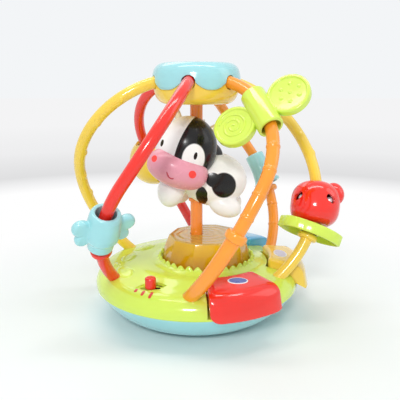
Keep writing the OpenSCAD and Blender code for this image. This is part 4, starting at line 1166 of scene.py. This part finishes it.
def taper_egg(name, r, h, place, bend, n=32, m=24):
    """Egg that narrows and leans towards its top."""
    rings = []
    for a in round_angles(n):
        line = []
        for k in range(m + 1):
            t = math.pi * (k / m - 0.5)
            up = math.sin(t)
            x = r * math.cos(t) * (1 - 0.22 * up)
            line.append((x * math.cos(a) + bend * up * up, x * math.sin(a), h * up))
        rings.append(line)
    return solid(name, *grid(rings, closed_rings=False, closed_path=True), place)


def cow_horns(material):
    horns = [taper_egg("cow_horn_tips" if s < 0 else "horn", 3, 8.5,
                       HEAD_FRAME @ turn(s * 34, "Y") @ move(0, 4, HEAD_H - 2.2), -s * 0.8) for s in (-1, 1)]
    return dress(join(*horns), material, "cow", "beige", ["cow_horns"], angle=60)


def cow_ears(white, black):
    for s, name, material in ((-1, "left", white), (1, "right", black)):
        root = HEAD_FRAME @ move(s * (HEAD_R - 3), 8, 2.5) @ turn(s * 86, "Y")
        ear = taper_egg("cow_ear_" + name, 5.5, 8.5, root @ Matrix.Diagonal((1.6, 0.75, 1, 1)), 0, 40, 28)
        dress(ear, material, "cow", "white", ["cow_ears"], angle=60)


# Beads

def butterfly_blue(material):
    """Bead with a barrel body and two rounded wings of two lobes each."""
    h, half = BLUE_H, WING_T / 2
    place = on_rail(0, LOWER, BLUE_AT) @ move(-bow(h), 0, 0)
    body = lathe("butterfly_blue_bead", rounded([
        (BLUE_BORE, -h, 0.6), (9.3, -h, 1.0), (9.9, -h + 7.5, 1.5), (11.9, -h + 10.5, 2.5),
        (12.4, -h + 15, 8), (12.0, h - 9, 8), (11.2, h - 3, 4), (10.0, h, 1.0),
        (BLUE_BORE, h, 0.6)]), 96, place)
    wings = []
    for s in (-1, 1):
        for x, z, r in BLUE_LOBES:
            lobe = rounded([(0, -half, 0), (r, -half, 2.8), (r, half, 2.8), (0, half, 0)], 8)
            lobe_place = place @ spin_z(BLUE_TURN) @ move(s * x, 0, z) @ turn(90, "X")
            wings.append(lathe("lobe", lobe, 48, lobe_place))
    soften(join(body, *wings), 0.55, 4)
    cut(body, rod("bore", BLUE_BORE, -20, 20, 64, place))
    return dress(body, material, "butterfly_blue", "sky", ["butterfly_blue"], angle=60)


def spiral_points(turns, r0, r1, y, n=60):
    out = []
    for k in range(n + 1):
        t = k / n
        a = 2 * math.pi * turns * t
        r = r0 + (r1 - r0) * t
        out.append((r * math.cos(a), y, r * math.sin(a)))
    return out


def butterfly_lime(material):
    """Tube with two round wings: raised rims, a spiral on one and seven dots on the other."""
    place = on_rail(1, UPPER, LIME_AT) @ move(-LIME_HANG, 0, 0)
    tube = lathe("butterfly_lime_bead", rounded([
        (0, -LIME_H, 0), (LIME_TUBE_R, -LIME_H, 1.1), (LIME_TUBE_R, LIME_H, 1.1), (0, LIME_H, 0)]), 96, place)
    r, half, sunk, rim = LIME_WING_R, WING_T / 2, 0.9, 2.2
    upper = [(r, half, 2.2), (r - rim, half, 0.6), (r - rim - 0.6, half - sunk, 0.6), (0, half - sunk, 0)]
    section = rounded([(x, -y, size) for x, y, size in reversed(upper)] + upper, 5)
    for s in (-1, 1):
        fuse(tube, lathe("wing", section, 96, place @ move(s * LIME_WING_X, 0, 0) @ turn(90, "X")))
    cut(tube, rod("bore", LIME_BORE, -20, 20, 64, place))
    marks = []
    for f in (-1, 1):
        face = f * (half - sunk)
        spiral = spiral_points(2.4, 0.6, 10.6, face - 0.3 * f)
        swirl = [place @ move(-LIME_WING_X - 1, 0, 0) @ Vector(p) for p in spiral]
        marks.append(strand("swirl", swirl, 1.05))
        for k in range(7):
            c = polar(0 if k == 6 else 7.4, 60 * k + 6, 0)
            dot = place @ move(LIME_WING_X + 1.5 + c.x, face, c.y)
            marks.append(egg("dot", 1.6, 0.7, dot @ turn(90, "X"), 20, 12))
    join(tube, *marks)
    return dress(tube, material, "butterfly_lime", "lime", ["butterfly_lime"], angle=40)


def barrel(r, h):
    """Half section of a barrel that is fuller than a ball."""
    heights = [h * math.sin(math.radians(90 * k / 12)) for k in range(-12, 13)]
    return [(r * (1 - abs(z / RATTLE_FULL_H) ** 3) ** 0.45, z) for z in heights]


def rattle(material):
    """Hollow bead with a round ear and two slots that show the shot."""
    place = on_rail(2, LOWER, RATTLE_AT) @ move(-bow(RATTLE_H), 0, 0) @ spin_z(RATTLE_TURN)
    outline = barrel(RATTLE_R, RATTLE_H)
    shell = lathe("rattle_bead_shell", [(0, -RATTLE_H)] + outline + [(0, RATTLE_H)], 96, place)
    ear = place @ move(RATTLE_R - 5.5, 0, 10.5) @ turn(-18, "Y") @ Matrix.Diagonal((1, 0.9, 1.2, 1))
    fuse(shell, egg("ear", 7.8, 7.8, ear, 48, 32))
    tube_r, inner_h = RATTLE_BORE + RATTLE_WALL, RATTLE_H - RATTLE_WALL
    room = [(max(tube_r, r - RATTLE_WALL), z) for r, z in barrel(RATTLE_R, inner_h)]
    cut(shell, lathe("room", [(tube_r, -inner_h)] + room + [(tube_r, inner_h)], 64, place))
    cut(shell, rod("bore", RATTLE_BORE, -30, 30, 64, place))
    for a, lean in zip(RATTLE_SLOTS, (-60, 60)):
        slot_place = place @ spin_z(a) @ move(0, 0, 1.5) @ turn(90, "Y") @ spin_z(lean)
        cut(shell, prism("slot", stadium(3.2, 2.7), 0, 40, slot_place))
    ease_edges(shell, 0.7)
    return dress(shell, material, "rattle", "red", ["rattle_bead"], angle=35)


def leaf_radius(a):
    """Plan outline of the leaf: a lens with one end rounded out."""
    side = (LEAF_L ** 2 + LEAF_W ** 2) / (2 * LEAF_W)
    c, s = math.cos(a), math.sin(a)
    q = (side - LEAF_W) * abs(s)
    lens = -q + math.sqrt(q * q + side * side - (side - LEAF_W) ** 2)
    r, x = LEAF_W - 0.5, -8.0
    disc = x * c + math.sqrt(max(0.0, r * r - (x * s) ** 2))
    return max(lens, disc)


def leaf(material):
    """Leaf plate: eased rim, veins on top, and a hollow underside with a hub."""
    place = on_rail(2, LOWER, LEAF_AT) @ spin_z(LEAF_TURN)
    half, hub = LEAF_T / 2, LEAF_BORE
    low, roof = -half - LEAF_RIM, half - 1.8

    def outline(a):
        rim = sum(leaf_radius(a + 0.02 * k) for k in range(-3, 4)) / 7
        section = [(hub, half - 0.3), (hub + 0.4, half)]
        for k in range(1, 9):
            r = hub + 0.4 + (rim - 2.6 - hub) * k / 8
            x, y = r * math.cos(a), r * math.sin(a)
            branch = ((abs(y) - 0.8 * x) % 9 - 4.5) / 0.6
            vein = math.exp(-(y / 0.8) ** 2) + 0.7 * math.exp(-branch ** 2)
            section.append((r, half - 0.35 * vein * min(1, (rim - r) / 3)))
        lip = [(1.7, half), (1.5, half + 1.0), (1.1, half + 1.2), (0.6, half + 1.2), (0.15, half + 0.9),
               (0, half + 0.3), (0, low + 0.8), (0.2, low + 0.2), (0.7, low), (1.5, low),
               (1.9, low + 0.4), (2.2, roof)]
        boss = [(2.4, roof), (2.0, -half + 0.3), (1.6, -half), (0.4, -half), (0, -half + 0.4)]
        return section + [(rim - back, z) for back, z in lip] + [(hub + out, z) for out, z in boss]

    plate = lathe("leaf_spinner_plate", outline, 180, place)
    return dress(plate, material, "leaf", "lime", ["leaf_spinner"], angle=42)


def bell(material):
    """Bell with a flared lip and an open mouth."""
    h, top, mouth = BELL_H, BELL_TOP_R, BELL_MOUTH_R
    place = on_rail(3, LOWER, BELL_AT) @ move(-bow(h), 0, 0)
    flare = []
    for k in range(13):
        t = math.radians(90 * k / 12)
        flare.append((top + (mouth - top) * (1 - math.sin(t)), -h + 3 + (h + 1) * math.sin(t) * k / 12))
    outline = [(mouth - 2.6, -h + 0.2), (mouth - 1.2, -h), (mouth - 0.3, -h + 0.4), (mouth, -h + 1.4)] + flare
    outline += [(top, h - 1.2), (top - 0.4, h - 0.3), (top - 1.1, h), (BELL_BORE, h - 0.3), (BELL_BORE, -3),
                (BELL_BORE + 1.2, -7), (mouth - 3.2, -h + 2)]
    shell = lathe("bell_bead_shell", outline, 96, place)
    return dress(shell, material, "bell", "sky", ["bell_bead"], angle=50)


def ball(material):
    """Hollow ball with eight soft-edged windows."""
    place = on_rail(4, LOWER, BALL_AT) @ move(-bow(BALL_R), 0, 0)
    shell = egg("ball_spinner_shell", BALL_R, BALL_R, place, 96, 64)
    cut(shell, egg("room", BALL_R - BALL_WALL, BALL_R - BALL_WALL, place, 72, 48))
    cut(shell, rod("bore", BALL_BORE, -40, 40, 48, place))
    for i in range(4):
        spin = place @ spin_z(90 * i + 45)
        for aim in (spin @ turn(55, "Y"), spin @ spin_z(45) @ turn(125, "Y")):
            cut(shell, rod("window", BALL_WINDOW_R, 0, 2 * BALL_R, 40, aim))
    ease_edges(shell, 0.7)
    return dress(shell, material, "ball", "yellow", ["ball_spinner"], angle=40)


# Parts that keep their CAD shape

def coat_nodes(looks):
    for material, names in looks:
        for name in names:
            node = frame["nodes"][name]
            node.data.materials.clear()
            node.data.materials.append(material)


# Stage

FLOOR_HALF = 6.0
# Distance from the middle in metres, and how pale the backdrop looks there; the dip to 224 is a band of
# painted shade
BACKDROP_WITH_SHADE_BAND = ((0.0, 255), (0.56, 255), (0.64, 241), (0.72, 224), (1.1, 238), (2.0, 244))
BACKDROP_REACH = 2.0
WALL_GREY, FLOOR_GREY = (243, 245, 247), (240, 245, 243)
# Distances between which the floor passes from lit paper to backdrop
FLOOR_FADE = (0.12, 0.32)
FILL_COLOUR, FILL_LEVEL = (0.97, 0.99, 1.0, 1.0), 0.52
# Lamps: place, width and height in metres, watts
LAMPS = {"softbox_front": ((-0.15, -1.05, 0.72), (0.24, 0.18), 5.6),
         "softbox_strip": ((0.0, -0.1, 1.3), (1.3, 0.2), 5.7),
         "softbox_right": ((1.0, -0.1, 0.7), (0.5, 0.7), 1.2),
         "softbox_back": ((-0.4, 0.8, 1.1), (0.7, 0.5), 1.8)}
LAMP_AIM = Vector((0, 0, 0.1))
# Camera: place in metres, degrees that it looks down and turns, focal length in picture widths
CAMERA_AT, CAMERA_DOWN, CAMERA_TURN, CAMERA_FOCAL = (0, -0.4198, 0.189), 12.71, -0.39, 1.3055


def seen_share(nodes, links):
    """Value that is one for rays that show the backdrop: straight to the eye, mirrored or let through."""
    path = nodes.new("ShaderNodeLightPath")
    total = path.outputs["Is Camera Ray"]
    for name in ("Is Glossy Ray", "Is Transmission Ray"):
        more = nodes.new("ShaderNodeMath")
        more.operation = "MAXIMUM"
        links.new(total, more.inputs[0])
        links.new(path.outputs[name], more.inputs[1])
        total = more.outputs[0]
    return total


def stage():
    """White floor with the object's shadow, which passes into a soft grey band of painted shade and a pale
    backdrop.
    """
    h = FLOOR_HALF
    mesh = bpy.data.meshes.new("floor")
    mesh.from_pydata([(-h, -h, 0), (h, -h, 0), (h, h, 0), (-h, h, 0)], [], [(0, 1, 2, 3)])
    floor = bpy.data.objects.new("floor", mesh)
    bpy.context.scene.collection.objects.link(floor)
    paint = Paint("floor_paper")
    paint.surface(linear(FLOOR_GREY), 0.6, 0.05, 0.03, 2.0)
    paint.shader.inputs["Specular IOR Level"].default_value = 0.1
    far = paint.node("ShaderNodeVectorMath", operation="LENGTH")
    paint.feed(far.inputs[0], paint.place)
    # The ramp paints the pale backdrop with a grey band of painted shade in it.
    ramp = paint.node("ShaderNodeValToRGB")
    paint.feed(ramp.inputs["Fac"], paint.math("MULTIPLY", far.outputs["Value"], 1 / BACKDROP_REACH))
    elements = ramp.color_ramp.elements
    for index, (place, level) in enumerate(BACKDROP_WITH_SHADE_BAND):
        element = elements[index] if index < 2 else elements.new(1.0)
        element.position = place / BACKDROP_REACH
        element.color = linear((level, level, level + (level < 250)))
    glow = paint.node("ShaderNodeEmission")
    paint.feed(glow.inputs["Color"], ramp.outputs["Color"])
    mix = paint.node("ShaderNodeMixShader")
    nodes, links = paint.tree.nodes, paint.tree.links
    beyond = paint.remap(far.outputs["Value"], *FLOOR_FADE, 0.0, 1.0, True)
    paint.feed(mix.inputs["Fac"], paint.math("MULTIPLY", beyond, seen_share(nodes, links)))
    links.new(paint.shader.outputs[0], mix.inputs[1])
    links.new(glow.outputs[0], mix.inputs[2])
    links.new(mix.outputs[0], nodes["Material Output"].inputs["Surface"])
    mesh.materials.append(paint.material)


def world():
    """Even studio light; the eye and mirrored rays see the pale backdrop."""
    made = bpy.data.worlds.new("studio")
    bpy.context.scene.world = made
    made.use_nodes = True
    nodes, links = made.node_tree.nodes, made.node_tree.links
    nodes.clear()
    mix = nodes.new("ShaderNodeMixShader")
    links.new(seen_share(nodes, links), mix.inputs["Fac"])
    for index, (colour, strength) in enumerate(((FILL_COLOUR, FILL_LEVEL), (linear(WALL_GREY), 1.0))):
        light = nodes.new("ShaderNodeBackground")
        light.inputs["Color"].default_value = colour
        light.inputs["Strength"].default_value = strength
        links.new(light.outputs[0], mix.inputs[index + 1])
    out = nodes.new("ShaderNodeOutputWorld")
    links.new(mix.outputs[0], out.inputs["Surface"])


def lamp(name, at, size, power):
    data = bpy.data.lights.new(name, "AREA")
    data.shape = "RECTANGLE"
    data.size, data.size_y = size
    data.energy = power
    obj = bpy.data.objects.new(name, data)
    obj.location = at
    obj.rotation_euler = (LAMP_AIM - Vector(at)).to_track_quat("-Z", "Y").to_euler()
    bpy.context.scene.collection.objects.link(obj)


def lights():
    for name, (at, size, power) in LAMPS.items():
        lamp(name, at, size, power)


def camera():
    data = bpy.data.cameras.new("camera")
    data.sensor_width = 36
    data.lens = CAMERA_FOCAL * data.sensor_width
    obj = bpy.data.objects.new("camera", data)
    obj.location = CAMERA_AT
    obj.rotation_euler = (math.radians(90 - CAMERA_DOWN), 0, math.radians(CAMERA_TURN))
    bpy.context.scene.collection.objects.link(obj)
    bpy.context.scene.camera = obj


def build():
    lime, sky, red = plastic("lime_plastic", LIME), plastic("sky_plastic", SKY), plastic("red_plastic", RED)
    orange, yellow = plastic("orange_plastic", ORANGE), plastic("yellow_plastic", YELLOW)
    blue = plastic("blue_plastic", KEY_BLUE)
    white, black = plastic("white_plastic", WHITE, 0.32), plastic("black_plastic", BLACK, 0.32, 0.1)
    beige = plastic("beige_plastic", BEIGE, 0.35)
    ink_red, ink_smile = plastic("red_ink", INK_RED, 0.4), plastic("smile_ink", INK_SMILE, 0.4)
    label_white = plastic("label_white", LABEL_WHITE, 0.3)
    label_blue = plastic("label_blue", LABEL_BLUE, 0.3)
    label_lilac = plastic("label_lilac", LABEL_LILAC, 0.3)
    base_top(lime)
    grass(lime)
    base_reliefs(lime)
    base_bowl(sky)
    key("red", KEY_ANGLES[0], red)
    key("yellow", KEY_ANGLES[1], yellow)
    key("blue", KEY_ANGLES[2], blue)
    key_labels(label_white, label_blue, label_lilac)
    volume_knob(red)
    volume_marks(ink_red)
    light_dome(amber_plastic("amber_plastic"))
    # The post's material holds painted shade in its colour.
    centre_post(plastic("shaded_post_orange", SHADED_POST_ORANGE))
    hub_cap(sky)
    hub_dish(yellow)
    rails(red, orange, yellow)
    cow_body(body_paint())
    cow_head(head_paint())
    cow_muzzle(muzzle_paint())
    cow_smile(ink_smile)
    cow_horns(beige)
    cow_ears(white, black)
    butterfly_blue(sky)
    butterfly_lime(lime)
    rattle(red)
    leaf(lime)
    bell(sky)
    ball(yellow)
    coat_nodes((
        (sky, ["battery_door"]),
        (white, ["cow_sleeve"]),
        (metal("steel", STEEL), ["base_screws", "door_screw", "battery_contacts", "key_springs", "key_pins",
                                 "hub_screws", "slide_switch"]),
        (metal("bright_steel", BRIGHT_STEEL, 0.3, 0.5), ["rattle_shot"]),
        (plastic("dark_plastic", DARK, 0.45), ["key_switches", "speaker"]),
        (plastic("cell_wrap", CELL_WRAP, 0.3), ["batteries"]),
        (plastic("board_green", BOARD_GREEN, 0.4), ["circuit_board"]),
        (plastic("lamp_lens", LENS_WHITE, 0.15), ["dome_led"])))


build()
stage()
world()
lights()
camera()
bpy.context.scene.view_settings.view_transform = "Standard"
